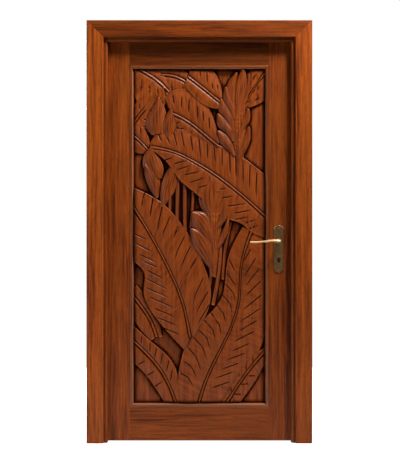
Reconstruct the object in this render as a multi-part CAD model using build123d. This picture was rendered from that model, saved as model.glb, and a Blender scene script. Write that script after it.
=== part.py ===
from build123d import *
import os
from math import pi, sin

# A carved hardwood door in its frame: jambs and head, casings, a framed leaf with one carved
# panel, three butt hinges, a mortise lock and lever handles. Sizes are in millimetres.
# X runs across the door, Y runs through it with the front at -Y, and Z is up.
# The origin is on the floor, midway across the opening, at half the leaf's thickness.

# The opening and the frame round it
opening_w = 922.0            # clear width between the stops
opening_h = 2014.0           # floor to the underside of the head's stop
jamb_thick = 34.0            # jamb board and stop together
stop_cover = 12.0            # how far a stop laps the leaf's edge
stop_depth = 36.0            # stop thickness, front to back
stop_arris_r = 8.0           # rounded front arris of the stops
casing_w = 84.0
casing_thick = 18.0
casing_bead_w = 7.0          # bead along a casing's inner edge
casing_quirk = 1.5           # depth and width of the quirk beside that bead
casing_arris_r = 5.0
front_reveal = 20.0          # jamb edge left showing beside a front casing
back_reveal = 24.0           # the same at the back, wide enough for the hinge knuckles

# The leaf
leaf_thick = 45.0
leaf_gap = 3.0               # leaf edge to rebate
floor_gap = 6.0
seat_gap = 1.0               # leaf face to stop
stile_w = 118.0
top_rail_h = 122.0
bottom_rail_h = 167.0
tenon_len = 60.0
tenon_thick = 15.0
tenon_top_inset = 34.0       # shoulder left above the top tenon and below the bottom one
tenon_inner_inset = 14.0     # shoulder left beside the panel opening

# Panel and beads
bead_w = 20.0
bead_proud = 1.5             # how far the front bead stands past the leaf's face
bead_quirk = 2.5             # width of the quirk between stile and bead
bead_round_w = 11.0          # width of the bead's round part
bead_step = (1.5, 7.0)       # from the round part's end out to the slope's start, and how deep
bead_step_r = 3.0
bead_land = 5.0              # the slope's foot above the ground
back_bead_thick = 10.0
bead_arris_r = 4.0
ground_depth = 24.5          # leaf face down to the carving's ground
panel_play = 2.0             # room for the panel to move in its opening
carving_gap = 0.5            # carving to bead

# Hinges
hinge_h = 100.0
hinge_plate_thick = 2.5
hinge_plate_w = 30.0         # plate let into the wood, measured from the leaf's back face
knuckle_r = 6.0
knuckle_clear = 0.5          # knuckle to wood
knuckle_count = 5
knuckle_gap = 0.4            # between neighbouring knuckles
hinge_edge_gap = 0.3         # plate edge to the leaf's back face, between knuckles
pin_r = 2.5
pin_fit = 0.05
pin_head_r = 4.5
pin_head_h = 3.0
hinge_end_low = 275.0        # lowest hinge centre above the leaf's foot
hinge_end_high = 200.0       # highest hinge centre below the leaf's top

# Screws
screw_head_r = 4.0
screw_shank_r = 2.0
hinge_screw_len = 16.0
hinge_screw_rows = (15.0, 36.0)
hinge_screw_set = (0.35, 0.75)   # screws from the leaf's back, as shares of the plate
slot_depth = 0.8             # driver slot of a screw
slot_half_w = 0.5
plate_screw_r = 2.0
plate_screw_head_r = 3.8
grub_r = 2.0

# Lock and handle
backset = 70.0               # leaf edge to handle axis
handle_z = 1012.0
key_drop = 90.0              # handle axis down to keyhole
plate_drop = 39.5            # handle axis down to the middle of its plate
case_depth = 95.0
case_thick = 15.0
case_wall = 2.0
case_play = 0.2              # case to its mortise
case_above = 51.0            # case top above the handle axis
case_below = 137.0           # case foot below the handle axis
forend_w = 22.0
forend_thick = 3.0
forend_over = 20.0           # forend past each end of the case
latch_h = 20.0
latch_throw = 12.0
latch_rise = 24.0            # latch centre above the handle axis
bolt_h = 30.0
bolt_throw = 20.0
bolt_drop = 60.0             # bolt centre below the handle axis
bolt_slide_gap = 0.3
strike_thick = 2.0
strike_front = 12.0          # strike plate in front of the lock's middle
strike_over = 22.0           # strike plate past each pocket
pocket_play = 1.3
pocket_spare = 2.0           # pocket depth past the end of a thrown bolt
follower_r = 10.0
follower_arm_r = 17.2        # handle axis to the centre of the follower's tip
follower_tip_r = 3.0
trunnion_r = 8.0
square = 8.0                 # spindle, across its flats
square_fit = 0.05
plate_w = 50.0
plate_h = 240.0
plate_thick = 5.0
plate_bevel = 1.5
plate_shoulder = 14.0        # length of the stepped end
plate_notch = 7.0            # how far the stepped end is set in
plate_arch_r = 14.0
keyhole_r = 3.5
keyhole_slot_w = 3.4
keyhole_slot_h = 11.0
collar_r = 13.0
collar_thick = 7.0
neck_r = 8.0
neck_fit = 0.3
handle_reach = 58.0          # leaf face to the outermost point of a lever
lever_len = 147.0
lever_half_h = 6.5
lever_half_t = 7.0
lever_wave = 2.5             # rise of the lever's wave
lever_drop = 5.0             # fall of its tip
lever_taper = 0.3            # how much thinner its tip is
lever_end = 0.82             # its rounded ends, as a share of the bar
grub_set = 5.0               # grub screw beyond the collar

# Places worked out from the sizes above
half_open = opening_w / 2
rebate_x = half_open + stop_cover
jamb_x = half_open + jamb_thick
leaf_half = rebate_x - leaf_gap
leaf_top = opening_h + stop_cover - leaf_gap
front_y = -leaf_thick / 2
back_y = leaf_thick / 2
stop_back_y = front_y - seat_gap
jamb_front_y = stop_back_y - stop_depth
field_half = leaf_half - stile_w
field_low = floor_gap + bottom_rail_h
field_top = leaf_top - top_rail_h
ground_y = front_y + ground_depth
panel_back_y = back_y - back_bead_thick
pin_x = -(leaf_half + rebate_x) / 2
pin_y = back_y + knuckle_r + knuckle_clear
handle_x = leaf_half - backset
key_z = handle_z - key_drop
latch_z = handle_z + latch_rise
bolt_z = handle_z - bolt_drop
case_x0 = leaf_half - forend_thick - case_depth
case_x1 = leaf_half - forend_thick
case_z0 = handle_z - case_below
case_z1 = handle_z + case_above
hinge_levels = {"bottom": floor_gap + hinge_end_low, "top": leaf_top - hinge_end_high}
hinge_levels["middle"] = (hinge_levels["bottom"] + hinge_levels["top"]) / 2


# Plain shapes between two corners, and rods along an axis
def block(x0, x1, y0, y1, z0, z1):
    centre = ((x0 + x1) / 2, (y0 + y1) / 2, (z0 + z1) / 2)
    return Pos(*centre) * Box(abs(x1 - x0), abs(y1 - y0), abs(z1 - z0))


def rod_x(x0, x1, y, z, r):
    return Pos((x0 + x1) / 2, y, z) * Rot(0, 90, 0) * Cylinder(r, abs(x1 - x0))


def rod_y(x, y0, y1, z, r):
    return Pos(x, (y0 + y1) / 2, z) * Rot(90, 0, 0) * Cylinder(r, abs(y1 - y0))


def rod_z(x, y, z0, z1, r):
    return Pos(x, y, (z0 + z1) / 2) * Cylinder(r, abs(z1 - z0))


def cone_x(x0, x1, y, z, r0, r1):
    turn = Rot(0, 90, 0) if x1 > x0 else Rot(0, -90, 0)
    return Pos((x0 + x1) / 2, y, z) * turn * Cone(r0, r1, abs(x1 - x0))


def cone_y(x, y0, y1, z, r0, r1):
    turn = Rot(-90, 0, 0) if y1 > y0 else Rot(90, 0, 0)
    return Pos(x, (y0 + y1) / 2, z) * turn * Cone(r0, r1, abs(y1 - y0))


def prism(points, y0, y1):
    """A flat outline in X and Z, given thickness from y0 to y1."""
    face = make_face(Polyline(*[(x, y0, z) for x, z in points], close=True))
    return extrude(face, amount=y1 - y0, dir=(0, 1, 0))


def moulding(corners, radii, start, along, length):
    """A bar whose section has the given corners; start places a corner, along is its run."""
    path = FilletPolyline(*[start(u, v) for u, v in corners], radius=radii, close=True)
    return extrude(make_face(path), amount=length, dir=along)


def upright(corners, radii, side, edge_x, z0, z1):
    """A moulded bar along Z; u runs outwards from edge_x on that side, v along Y."""
    return moulding(corners, radii, lambda u, v: (side * (edge_x + u), v, z0), (0, 0, 1), z1 - z0)


def crossbar(corners, radii, side, edge_z, half_w):
    """A moulded bar along X; u runs up (side 1) or down (side -1) from edge_z, v along Y."""
    return moulding(
        corners, radii, lambda u, v: (-half_w, v, edge_z + side * u), (1, 0, 0), 2 * half_w
    )


def head_wedge(half_w, height, depth):
    """The space above an opening between its two mitres."""
    out = depth + 1.0
    points = [(-half_w, height), (half_w, height), (half_w + out, height + out)]
    points.append((-half_w - out, height + out))
    reach = handle_reach + casing_thick + leaf_thick
    return prism(points, -reach, reach)


def save(shape, node):
    export_step(shape, "parts/" + node + ".step")


def save_group(shapes, node):
    save(Compound(children=list(shapes)), node)


# Jambs and head are flat boards mitred together, with stops planted on them
def jamb_board(side):
    edge, back = side * rebate_x, side * jamb_x
    board = block(edge, back, jamb_front_y, back_y, 0, opening_h + jamb_thick)
    return board - head_wedge(rebate_x, opening_h + stop_cover, jamb_thick - stop_cover)


def head_jamb():
    low = opening_h + stop_cover
    board = block(-jamb_x, jamb_x, jamb_front_y, back_y, low, opening_h + jamb_thick)
    return board & head_wedge(rebate_x, low, jamb_thick - stop_cover)


def stops():
    """The left, right and head stops, which the closed leaf bears on."""
    corners = [(stop_cover, jamb_front_y), (0, jamb_front_y)]
    corners += [(0, stop_back_y), (stop_cover, stop_back_y)]
    radii = [0, stop_arris_r, 0, 0]
    wedge = head_wedge(half_open, opening_h, stop_cover)
    top = opening_h + stop_cover
    left = upright(corners, radii, -1, half_open, 0, top) - wedge
    right = upright(corners, radii, 1, half_open, 0, top) - wedge
    return left, right, crossbar(corners, radii, 1, opening_h, rebate_x) & wedge


def hinge_jamb():
    leg = jamb_board(-1)
    for z in hinge_levels.values():
        leg -= hinge_recess(z, -rebate_x, -rebate_x - hinge_plate_thick)
        for y, dz in hinge_screw_places():
            x0 = -rebate_x - hinge_plate_thick
            leg -= rod_x(x0 - hinge_screw_len, x0 + 1, y, z + dz, screw_shank_r)
    return leg


def latch_pocket():
    half_h = latch_h / 2 + pocket_play
    end = leaf_half + latch_throw + pocket_spare
    return block(rebate_x - 1, end, -lock_half, lock_half, latch_z - half_h, latch_z + half_h)


def bolt_pocket():
    half_h = bolt_h / 2 + pocket_play
    end = leaf_half + bolt_throw + pocket_spare
    return block(rebate_x - 1, end, -lock_half, lock_half, bolt_z - half_h, bolt_z + half_h)


def strike_bounds():
    low = bolt_z - bolt_h / 2 - strike_over
    high = latch_z + latch_h / 2 + strike_over
    return low, high


def strike_screw_levels():
    low, high = strike_bounds()
    return [low + strike_over / 2, high - strike_over / 2]


def strike_jamb():
    low, high = strike_bounds()
    leg = jamb_board(1) - latch_pocket() - bolt_pocket()
    leg -= block(rebate_x - 1, rebate_x + strike_thick, -strike_front, back_y + 1, low, high)
    for z in strike_screw_levels():
        leg -= rod_x(rebate_x, rebate_x + hinge_screw_len, 0, z, screw_shank_r)
    return leg


# Casings: a flat board with a beaded inner edge and a rounded outer arris
def casing_section(face_y, outward, width):
    top = face_y + outward * casing_thick
    floor = top - outward * casing_quirk
    corners = [(0, face_y), (0, top), (casing_bead_w, top), (casing_bead_w, floor)]
    corners += [(casing_bead_w + casing_quirk, floor), (casing_bead_w + casing_quirk, top)]
    corners += [(width, top), (width, face_y)]
    return corners, [0, casing_bead_w * 0.45, casing_quirk * 0.6, 0, 0, 0, casing_arris_r, 0]


def casings(face_y, outward, reveal):
    """The left, right and head casings of one face, mitred at the top corners."""
    width = front_reveal + casing_w - reveal
    corners, radii = casing_section(face_y, outward, width)
    half_w = half_open + reveal
    height = opening_h + reveal
    wedge = head_wedge(half_w, height, width)
    left = upright(corners, radii, -1, half_w, 0, height + width) - wedge
    right = upright(corners, radii, 1, half_w, 0, height + width) - wedge
    head = crossbar(corners, radii, 1, height, half_w + width) & wedge
    return {"left": left, "right": right, "head": head}


# Strike plate with its lip to the jamb's back edge, and its screws
def strike_plate():
    low, high = strike_bounds()
    plate = block(rebate_x, rebate_x + strike_thick, -strike_front, back_y, low, high)
    plate -= latch_pocket() + bolt_pocket()
    for z in strike_screw_levels():
        plate -= cone_x(rebate_x, rebate_x + strike_thick, 0, z, screw_head_r, screw_shank_r)
    return plate


def screw_x(head_x, direction, y, z, head_depth, length):
    """A countersunk screw along X: head_x is its flush face, with a straight slot."""
    neck = head_x + direction * head_depth
    head = cone_x(head_x, neck, y, z, screw_head_r, screw_shank_r)
    shank = rod_x(neck, neck + direction * length, y, z, screw_shank_r)
    near, far = head_x - slot_depth, head_x + slot_depth
    half_len, half_w = screw_head_r, slot_half_w
    return head + shank - block(near, far, y - half_len, y + half_len, z - half_w, z + half_w)


# Butt hinges: plates let into the wood, knuckles in turn on a common pin
def hinge_screw_places():
    near, far = [back_y - hinge_plate_w * share for share in hinge_screw_set]
    inner, outer = hinge_screw_rows
    return [(near, outer), (near, -inner), (far, inner), (far, -outer)]


def hinge_recess(z, x0, x1):
    half = hinge_h / 2
    return block(x0, x1, back_y - hinge_plate_w, back_y + 1, z - half, z + half)


def hinge_leaf(z, face, back, first):
    """One hinge plate from its bare face to its back, with every second knuckle from first."""
    half = hinge_h / 2
    pitch = hinge_h / knuckle_count
    x0, x1 = min(face, back), max(face, back)
    edge_y = back_y - hinge_edge_gap
    plate = block(x0, x1, back_y - hinge_plate_w, edge_y, z - half, z + half)
    for i in range(first, knuckle_count, 2):
        low = z - half + i * pitch + knuckle_gap / 2
        high = low + pitch - knuckle_gap
        plate += rod_z(pin_x, pin_y, low, high, knuckle_r)
        plate += block(x0, x1, edge_y, pin_y, low, high)
    plate -= rod_z(pin_x, pin_y, z - half - 1, z + half + 1, pin_r + pin_fit)
    for y, dz in hinge_screw_places():
        plate -= cone_x(face, back, y, z + dz, screw_head_r, screw_shank_r)
    return plate


def hinge_pin(z):
    half = hinge_h / 2
    pin = rod_z(pin_x, pin_y, z - half - pin_head_h, z + half, pin_r)
    pin += rod_z(pin_x, pin_y, z + half, z + half + pin_head_h, pin_head_r)
    top = pin.edges().filter_by(GeomType.CIRCLE).sort_by(Axis.Z)[-1]
    return fillet(top, pin_head_h * 0.4)


def hinge_screws(x_face, direction):
    for z in hinge_levels.values():
        for y, dz in hinge_screw_places():
            yield screw_x(x_face, direction, y, z + dz, hinge_plate_thick, hinge_screw_len)


# Stiles run the full height, and the rails are tenoned between them
def tenons(side):
    """The tenons of top and bottom rail that enter the stile on one side."""
    x0, x1 = side * field_half, side * (field_half + tenon_len)
    half = tenon_thick / 2
    top = block(x0, x1, -half, half, field_top + tenon_inner_inset, leaf_top - tenon_top_inset)
    low = floor_gap + tenon_top_inset
    bottom = block(x0, x1, -half, half, low, field_low - tenon_inner_inset)
    return top, bottom


def stile(side):
    edge, inner = side * leaf_half, side * field_half
    post = block(inner, edge, front_y, back_y, floor_gap, leaf_top)
    top, bottom = tenons(side)
    return post - top - bottom


def hinge_stile():
    post = stile(-1)
    for z in hinge_levels.values():
        post -= hinge_recess(z, -leaf_half, -leaf_half + hinge_plate_thick)
        for y, dz in hinge_screw_places():
            x0 = -leaf_half + hinge_plate_thick
            post -= rod_x(x0 - 1, x0 + hinge_screw_len, y, z + dz, screw_shank_r)
    return post


def rail(z0, z1, index):
    bar = block(-field_half, field_half, front_y, back_y, z0, z1)
    return bar + tenons(-1)[index] + tenons(1)[index]


# Beads hold the panel on both faces; each is mitred to its neighbours
def front_bead_section():
    crest = front_y - bead_proud
    floor = front_y + bead_quirk
    crest_end = bead_quirk + bead_round_w
    corners = [(0, ground_y), (0, floor), (bead_quirk, floor), (bead_quirk, crest)]
    corners += [(crest_end, crest), (crest_end + bead_step[0], front_y + bead_step[1])]
    corners += [(bead_w, ground_y - bead_land), (bead_w, ground_y)]
    crest_r = 0.9 * (bead_quirk + bead_proud)
    return corners, [0, 0, 0, crest_r, crest_r, bead_step_r, 0, 0]


def back_bead_section():
    corners = [(0, panel_back_y), (0, back_y), (bead_w, back_y), (bead_w, panel_back_y)]
    return corners, [0, 0, bead_arris_r, 0]


def bead_frame(section):
    """Four mitred beads round the panel opening."""
    corners, radii = section
    turned = [(-u, v) for u, v in corners]
    reach = bead_w + 1.0
    x0, x1, z0, z1 = -field_half, field_half, field_low, field_top
    sides = {
        "left": [(x0, z0), (x0 + reach, z0 + reach), (x0 + reach, z1 - reach), (x0, z1)],
        "right": [(x1, z0), (x1, z1), (x1 - reach, z1 - reach), (x1 - reach, z0 + reach)],
        "bottom": [(x0, z0), (x1, z0), (x1 - reach, z0 + reach), (x0 + reach, z0 + reach)],
        "top": [(x0, z1), (x0 + reach, z1 - reach), (x1 - reach, z1 - reach), (x1, z1)],
    }
    bars = {
        "left": upright(turned, radii, -1, field_half, z0, z1),
        "right": upright(turned, radii, 1, field_half, z0, z1),
        "bottom": crossbar(turned, radii, -1, z0, field_half),
        "top": crossbar(turned, radii, 1, z1, field_half),
    }
    return {name: bars[name] & prism(sides[name], -leaf_thick, leaf_thick) for name in bars}


def panel_board():
    half_w = field_half - panel_play
    low, high = field_low + panel_play, field_top - panel_play
    return block(-half_w, half_w, ground_y, panel_back_y, low, high)


# The carving is drawn on a grid of squares over the panel's visible field, from its lower
# left corner. Heights are in millimetres above the ground that is cut back between forms.
grid_w = 132.8
grid_h = 337.6
rib_half_w = 5.0             # half the width of a leaf's midrib
rib_rise = 3.0               # midrib above the blades beside it
blade_swell = 2.0            # how far a blade swells between midrib and edge
sink_depth = 3.0             # how far a form is rooted below the ground
sink_step = 0.07             # roots end at slightly different depths
sink_count = 37
vein_half_w = 2.6            # a V cut across a blade, wide and deep at the edge
vein_depth = 4.0
vein_end_w = 0.55            # its width and depth at the midrib, as shares
vein_end_depth = 0.4
vein_lead = 2.0              # how far a cut starts outside its first place
vein_over = 1.5              # how far the cutter stands above the blade

# Each leaf: its midrib and its two edges from base to tip, then the heights of midrib and edges
leaf_forms = {
    "top_left_leaf": [
        [(3, 339), (15, 332), (25, 325), (35, 315)],
        [(8, 343), (22, 337), (32, 329), (38, 316)],
        [(-3, 330), (5, 301), (17, 289), (33, 304)],
        (12, 8, 7),
    ],
    "top_middle_leaf": [
        [(55, 330), (67, 321), (77, 313), (88, 304)],
        [(59, 343), (73, 341), (84, 331), (90, 307)],
        [(51, 321), (63, 307), (76, 299), (86, 297)],
        (14, 9, 12),
    ],
    "upper_leaf": [
        [(38, 293.5), (55, 284.5), (70, 273), (86, 259.5)],
        [(30, 313), (51, 318), (72, 304), (86, 270)],
        [(38, 285), (53, 272), (67, 264), (84, 256)],
        (15, 9, 8),
    ],
    "fan_leaf": [
        [(112, 302), (119, 313), (125, 323), (134, 335)],
        [(110, 313), (113, 329), (120, 338), (133, 345)],
        [(114, 298), (121, 300), (128, 303), (135, 308)],
        (11, 9, 9),
    ],
    "side_leaf": [
        [(0, 283), (7, 293), (13, 300), (18, 308)],
        [(-4, 295), (3, 305), (9, 311), (17, 311)],
        [(4, 276), (13, 278), (18, 289), (20, 305)],
        (9, 6, 6),
    ],
    "small_leaf": [
        [(-3, 272), (4, 267), (9, 262), (14, 256)],
        [(-3, 287), (7, 281), (14, 271), (17, 260)],
        [(-3, 257), (3, 253), (9, 252), (14, 253)],
        (11, 8, 6),
    ],
    "great_leaf": [
        [(17, 259), (38, 254.5), (60, 244.5), (82, 231), (108, 211), (135, 187)],
        [(16, 262), (25, 274), (47, 277), (73, 267), (103, 253), (135, 229)],
        [(19, 255), (32, 245), (45, 227), (66, 209), (96, 186), (135, 166)],
        (18, 11, 15),
    ],
    "left_leaf": [
        [(-3, 203), (13, 177), (27, 152), (39, 128), (50, 100), (57, 67)],
        [(-25, 183), (-9, 151), (11, 130), (10, 115), (20.5, 89), (51, 54)],
        [(-3, 219), (25, 205), (51, 177), (71, 139), (78, 109), (63, 69)],
        (20, 18, 13),
    ],
    "right_leaf": [
        [(107, 167), (107.5, 135), (106.5, 105), (93, 64), (72, 20), (64, -7)],
        [(103, 171), (93.5, 137), (88, 107), (62, 75), (46, 35), (43, -7)],
        [(117, 165), (133, 133), (133, 89), (123, 49), (99, 15), (89, -7)],
        (19, 17, 12),
    ],
    "low_left_leaf": [
        [(-7, 69), (19, 44), (32, 26), (44, -4)],
        [(-7, 85), (19, 61), (38, 43), (46, -4)],
        [(-9, 47), (7, 34), (21, 16), (35, -6)],
        (14, 12, 8),
    ],
    "low_right_leaf": [
        [(134, 54), (119, 37), (107, 21), (91, -5)],
        [(131, 55), (114, 44), (103, 27), (83, -5)],
        [(136, 49), (126, 27), (117, 13), (103, -6)],
        (13, 9, 9),
    ],
    "back_leaf": [
        [(-5, 113), (8, 97), (17, 83), (23, 67)],
        [(3, 119), (15, 105), (24, 87), (29, 67)],
        [(-7, 99), (1, 83), (9, 71), (17, 63)],
        (7, 5, 5),
    ],
}

# Each leaf's vein cuts, as places near the edge and near the midrib
vein_cuts = {
    "top_left_leaf": [
        ((15.5, 322), (17, 311)), ((24, 317), (25.5, 310)), ((31, 318), (33, 307)),
        ((8, 327), (8, 313)),
    ],
    "top_middle_leaf": [
        ((67, 339), (67, 329)), ((74, 333), (74, 323)), ((79, 323), (80, 317)),
        ((84.5, 321), (85, 317)),
    ],
    "upper_leaf": [
        ((39.5, 311), (40.7, 301)), ((48.5, 310), (48, 297)), ((56, 307), (55.3, 293)),
        ((64, 300), (64.5, 286)), ((70, 294), (70.5, 283)), ((76, 288), (76.5, 276)),
        ((42, 282), (46, 284)), ((45, 275), (51, 279)), ((55, 271), (60, 275)),
    ],
    "fan_leaf": [
        ((114, 317), (125, 335)), ((115, 310), (129, 321)), ((115, 304), (129, 309)),
        ((113, 322), (119, 335)),
    ],
    "great_leaf": [
        ((25, 272), (28, 263.5)), ((32.5, 273), (37, 260)), ((40, 274), (44.5, 257)),
        ((48, 274), (51.5, 256)), ((57.5, 270), (60, 252)), ((66, 267), (67.5, 247)),
        ((74, 264), (74.8, 245)), ((81, 261), (82.5, 242)), ((89.3, 257), (89.3, 237)),
        ((97, 253), (97.3, 230)), ((103, 250), (103.3, 226)), ((110.5, 245), (110.5, 220)),
        ((117.5, 239), (116.5, 215)), ((124.5, 233), (124, 207)), ((30, 245), (39, 248)),
        ((42, 242), (54, 245)), ((45, 236), (57, 240)), ((52, 230.5), (67, 234)),
        ((58, 223), (72, 228)), ((67, 218), (77, 221)), ((77, 210), (87, 214)), ((88, 216), (93, 217)),
        ((89, 207), (100, 209)), ((96, 199), (114, 201.5)), ((103, 192), (119, 195)),
        ((103, 185.5), (117, 188.5)), ((112, 182), (125, 185.5)), ((116, 176), (127, 180)),
    ],
    "left_leaf": [
        ((1, 171), (13, 165)), ((3, 161), (19, 152.5)), ((7, 150), (24, 141.5)),
        ((11, 142.5), (26, 136.5)), ((14, 134), (31, 125)), ((14, 125), (34, 115)),
        ((14, 116), (37, 106)), ((17, 107), (42, 95.5)), ((21, 96), (44, 86)), ((25, 86), (45, 78)),
        ((30, 76), (48, 69)), ((11.5, 213), (8, 197)), ((19.5, 207), (16.5, 186)),
        ((29, 199), (23.5, 171)), ((36.5, 188), (29.5, 165)), ((45, 178), (36.5, 153)),
        ((51, 168), (41, 142)), ((57, 158), (47, 133)), ((63, 146), (51, 117)),
        ((70, 126), (59.5, 100)), ((74.5, 112), (62, 88)), ((76, 99), (64, 78)),
    ],
    "right_leaf": [
        ((97, 144), (103, 132)), ((94.5, 131), (104, 117)), ((93, 120), (102.5, 102)),
        ((90, 109), (99.5, 91)), ((84, 99), (93.5, 79)), ((78, 91), (89, 67)), ((71, 84), (83, 62)),
        ((65, 75), (78, 53)), ((61, 66), (74.5, 42)), ((55, 56), (68.5, 32)), ((51, 42), (64, 26)),
        ((48, 30), (60.5, 16)), ((118, 155), (110, 141)), ((123, 146), (111, 127)),
        ((126, 135), (112, 117)), ((128, 123), (112, 107)), ((129, 109), (109, 93)),
        ((127, 95), (107, 82)), ((124, 83), (105, 72)), ((121, 72), (99, 61)), ((116, 60), (98, 52)),
        ((111, 50), (93, 43)), ((105, 40), (88, 34)), ((99, 31), (82, 25)), ((95, 21), (78, 15)),
    ],
    "low_left_leaf": [
        ((8, 67), (7.5, 59)), ((16.5, 60), (16, 51)), ((23, 55), (21, 45)), ((29, 50), (27, 38)),
        ((35.5, 43), (33, 31)), ((39, 33), (37, 21)), ((5, 39), (12, 43)), ((14, 28), (22, 33)),
        ((22, 17), (29, 22)),
    ],
    "low_right_leaf": [
        ((106.5, 35), (106.5, 26)), ((113.5, 42), (113.5, 32)), ((120.5, 47), (120.5, 40)),
        ((98, 19), (99, 10)), ((116, 27.5), (124, 27.5)), ((109, 19), (117, 19.5)),
        ((102, 9), (110, 9)),
    ],
}

# Each bract of a flower: its left and right edges from tip to root, then crest and edge heights
bract_forms = {
    "upper_flower": [
        ([(109, 337), (104, 325), (102, 310), (103, 293)],
         [(112, 337), (115, 325), (113, 310), (111, 293)], (24, 14)),
        ([(103, 334), (95, 323), (94, 312), (98, 299)],
         [(105, 334), (104, 321), (104, 310), (105, 299)], (22, 12)),
        ([(92, 319), (90, 308), (94, 297), (99, 287)],
         [(94, 320), (100, 309), (104, 297), (104, 287)], (23, 12)),
        ([(87, 307), (86, 295), (92, 286), (98, 275)],
         [(89, 308), (97, 298), (102, 287), (103, 275)], (23.5, 12)),
        ([(84, 292), (85, 280), (91, 274), (98, 264)],
         [(86, 293), (95, 286), (101, 277), (103, 265)], (24, 12)),
        ([(84, 274), (87, 263), (93, 257), (100, 249)],
         [(86, 276), (95, 271), (100, 263), (104, 251)], (23, 11)),
        ([(115, 334), (114, 321), (110, 308), (106, 297)],
         [(118, 332), (118, 320), (115, 307), (110, 295)], (21, 12)),
        ([(114, 299), (110, 288), (106, 279), (104, 269)],
         [(117, 297), (117.5, 287), (113, 278), (108, 267)], (25, 13)),
        ([(115, 280), (111, 269), (107, 259), (104, 249)],
         [(117.5, 279), (118, 268), (114, 256), (108, 245)], (24.5, 12)),
        ([(102, 309), (100, 287), (100, 265), (104, 242)],
         [(113, 309), (114, 287), (113, 265), (110, 241)], (22, 12)),
    ],
    "bud": [
        ([(24, 309), (18, 297), (15, 285), (17, 272)],
         [(26, 310), (31, 299), (34, 287), (35, 273)], (22, 10)),
        ([(37, 297), (30, 288), (28, 278), (31, 269)],
         [(39, 298), (42, 288), (43, 277), (39, 268)], (23, 11)),
        ([(16, 295), (12, 285), (13, 277), (18, 271)],
         [(18, 295), (22, 285), (24, 277), (24, 271)], (18, 8)),
    ],
    "spike": [
        ([(16, 259), (9.5, 248), (10, 238), (22, 228)],
         [(19, 259), (26, 248), (30, 237), (28, 227)], (25, 12)),
        ([(10, 240), (12, 227), (17, 215), (22, 207)],
         [(12, 242), (23, 234), (26.5, 224), (25, 208)], (23, 11)),
        ([(37, 240), (30, 227), (27, 213), (27, 199)],
         [(41, 240), (44, 227), (40, 212), (30, 198)], (22, 12)),
    ],
    "great_flower": [
        ([(76, 229), (69, 218), (66, 205), (72, 191)],
         [(79, 230), (88, 220), (91.5, 207), (90, 191)], (26, 12)),
        ([(58, 192), (58, 181), (65, 170), (78, 160)],
         [(60, 194), (74, 192), (82, 179), (84, 162)], (25, 11)),
        ([(57, 175), (58, 161), (66, 148), (76, 137)],
         [(59, 177), (74, 173), (82, 159), (84, 141)], (25.5, 11)),
        ([(91, 205), (89, 195), (85, 185), (80, 177)],
         [(94, 206), (97, 195), (93, 184), (83, 173)], (25.5, 13)),
        ([(94, 187), (90, 175), (85, 165), (80, 155)],
         [(97, 187), (95.5, 173), (90, 161), (83, 151)], (24.5, 12)),
        ([(72, 197), (75, 177), (75, 155), (77, 129)],
         [(91, 197), (88, 177), (86, 155), (83, 127)], (22, 13)),
    ],
}

# Each stem: its middle line, half its width on the grid, and its height
stem_forms = [
    ([(36.5, 213), (36.5, 201), (36, 188)], 1.6, 13),
    ([(44.5, 235), (44, 207), (43.5, 175)], 2, 14),
    ([(51.5, 223), (51.5, 195), (52, 159)], 2, 14),
    ([(60, 215), (59.5, 201), (58, 179)], 1.6, 13),
    ([(58, 179), (57, 165), (59, 143)], 1.6, 11),
    ([(87, 179), (88, 143), (81, 99)], 3.4, 15),
    ([(78, 143), (78, 127), (74, 103)], 2.6, 14),
    ([(99, 185), (93, 157), (90, 113)], 2.6, 12),
]


def place(u, v):
    """A point of the drawing, on the panel."""
    field_w = 2 * (field_half - bead_w)
    field_h = field_top - field_low - 2 * bead_w
    return (u / grid_w - 0.5) * field_w, field_low + bead_w + v / grid_h * field_h


def seam(points):
    """A smooth line through points of the drawing, in the panel's plane."""
    spots = [place(u, v) for u, v in points]
    return Spline(*[(x, 0, z) for x, z in spots])


def facet(*points):
    return Face(Wire.make_polygon([Vector(*p) for p in points], close=True))


def between(p, q, t, height):
    """A point t of the way from p to q in plan, standing height above the ground."""
    return (p.X + (q.X - p.X) * t, ground_y - height, p.Z + (q.Z - p.Z) * t)


def rooted(row, p, q, index):
    """Close a row of top points with its two roots below the ground."""
    root_y = ground_y + sink_depth + sink_step * (index % sink_count)
    return [(p.X, root_y, p.Z)] + row + [(q.X, root_y, q.Z)]


def skin(rows):
    """A solid of flat facets through rows of as many points, closed by a fan at each end."""
    facets = []
    count = len(rows[0])
    for near, far in zip(rows, rows[1:]):
        for i in range(count):
            j = (i + 1) % count
            facets.append(facet(near[i], near[j], far[j]))
            facets.append(facet(near[i], far[j], far[i]))
    for row in (rows[0], rows[-1]):
        centre = tuple(sum(p[k] for p in row) / count for k in range(3))
        facets += [facet(row[i], row[(i + 1) % count], centre) for i in range(count)]
    return Solid(Shell(facets))


def leaf(form, index):
    """Two swelling blades that fall from a raised midrib to their edges."""
    middle, side_a, side_b = [seam(points) for points in form[:3]]
    rib_h, a_h, b_h = form[3]
    count = 3 * len(form[0])
    rows = []
    for i in range(count):
        t = i / (count - 1)
        rib, a, b = [line.position_at(t) for line in (middle, side_a, side_b)]
        along = middle.tangent_at(t)
        across = Vector(along.Z, 0, -along.X) * rib_half_w
        if (a - rib).dot(across) < 0:
            across = across * -1
        row = [between(a, rib, 0, a_h), between(a, rib, 0.3, a_h * 0.6 + rib_h * 0.4 + blade_swell)]
        row.append(between(a, rib, 0.65, a_h * 0.3 + rib_h * 0.7 + blade_swell))
        row.append(between(rib + across, rib, 0, rib_h))
        row.append(between(rib, rib, 0, rib_h + rib_rise))
        row.append(between(rib - across, rib, 0, rib_h))
        row.append(between(rib, b, 0.35, b_h * 0.3 + rib_h * 0.7 + blade_swell))
        row.append(between(rib, b, 0.7, b_h * 0.6 + rib_h * 0.4 + blade_swell))
        row.append(between(rib, b, 1, b_h))
        rows.append(rooted(row, a, b, index))
    return skin(rows)


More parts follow.
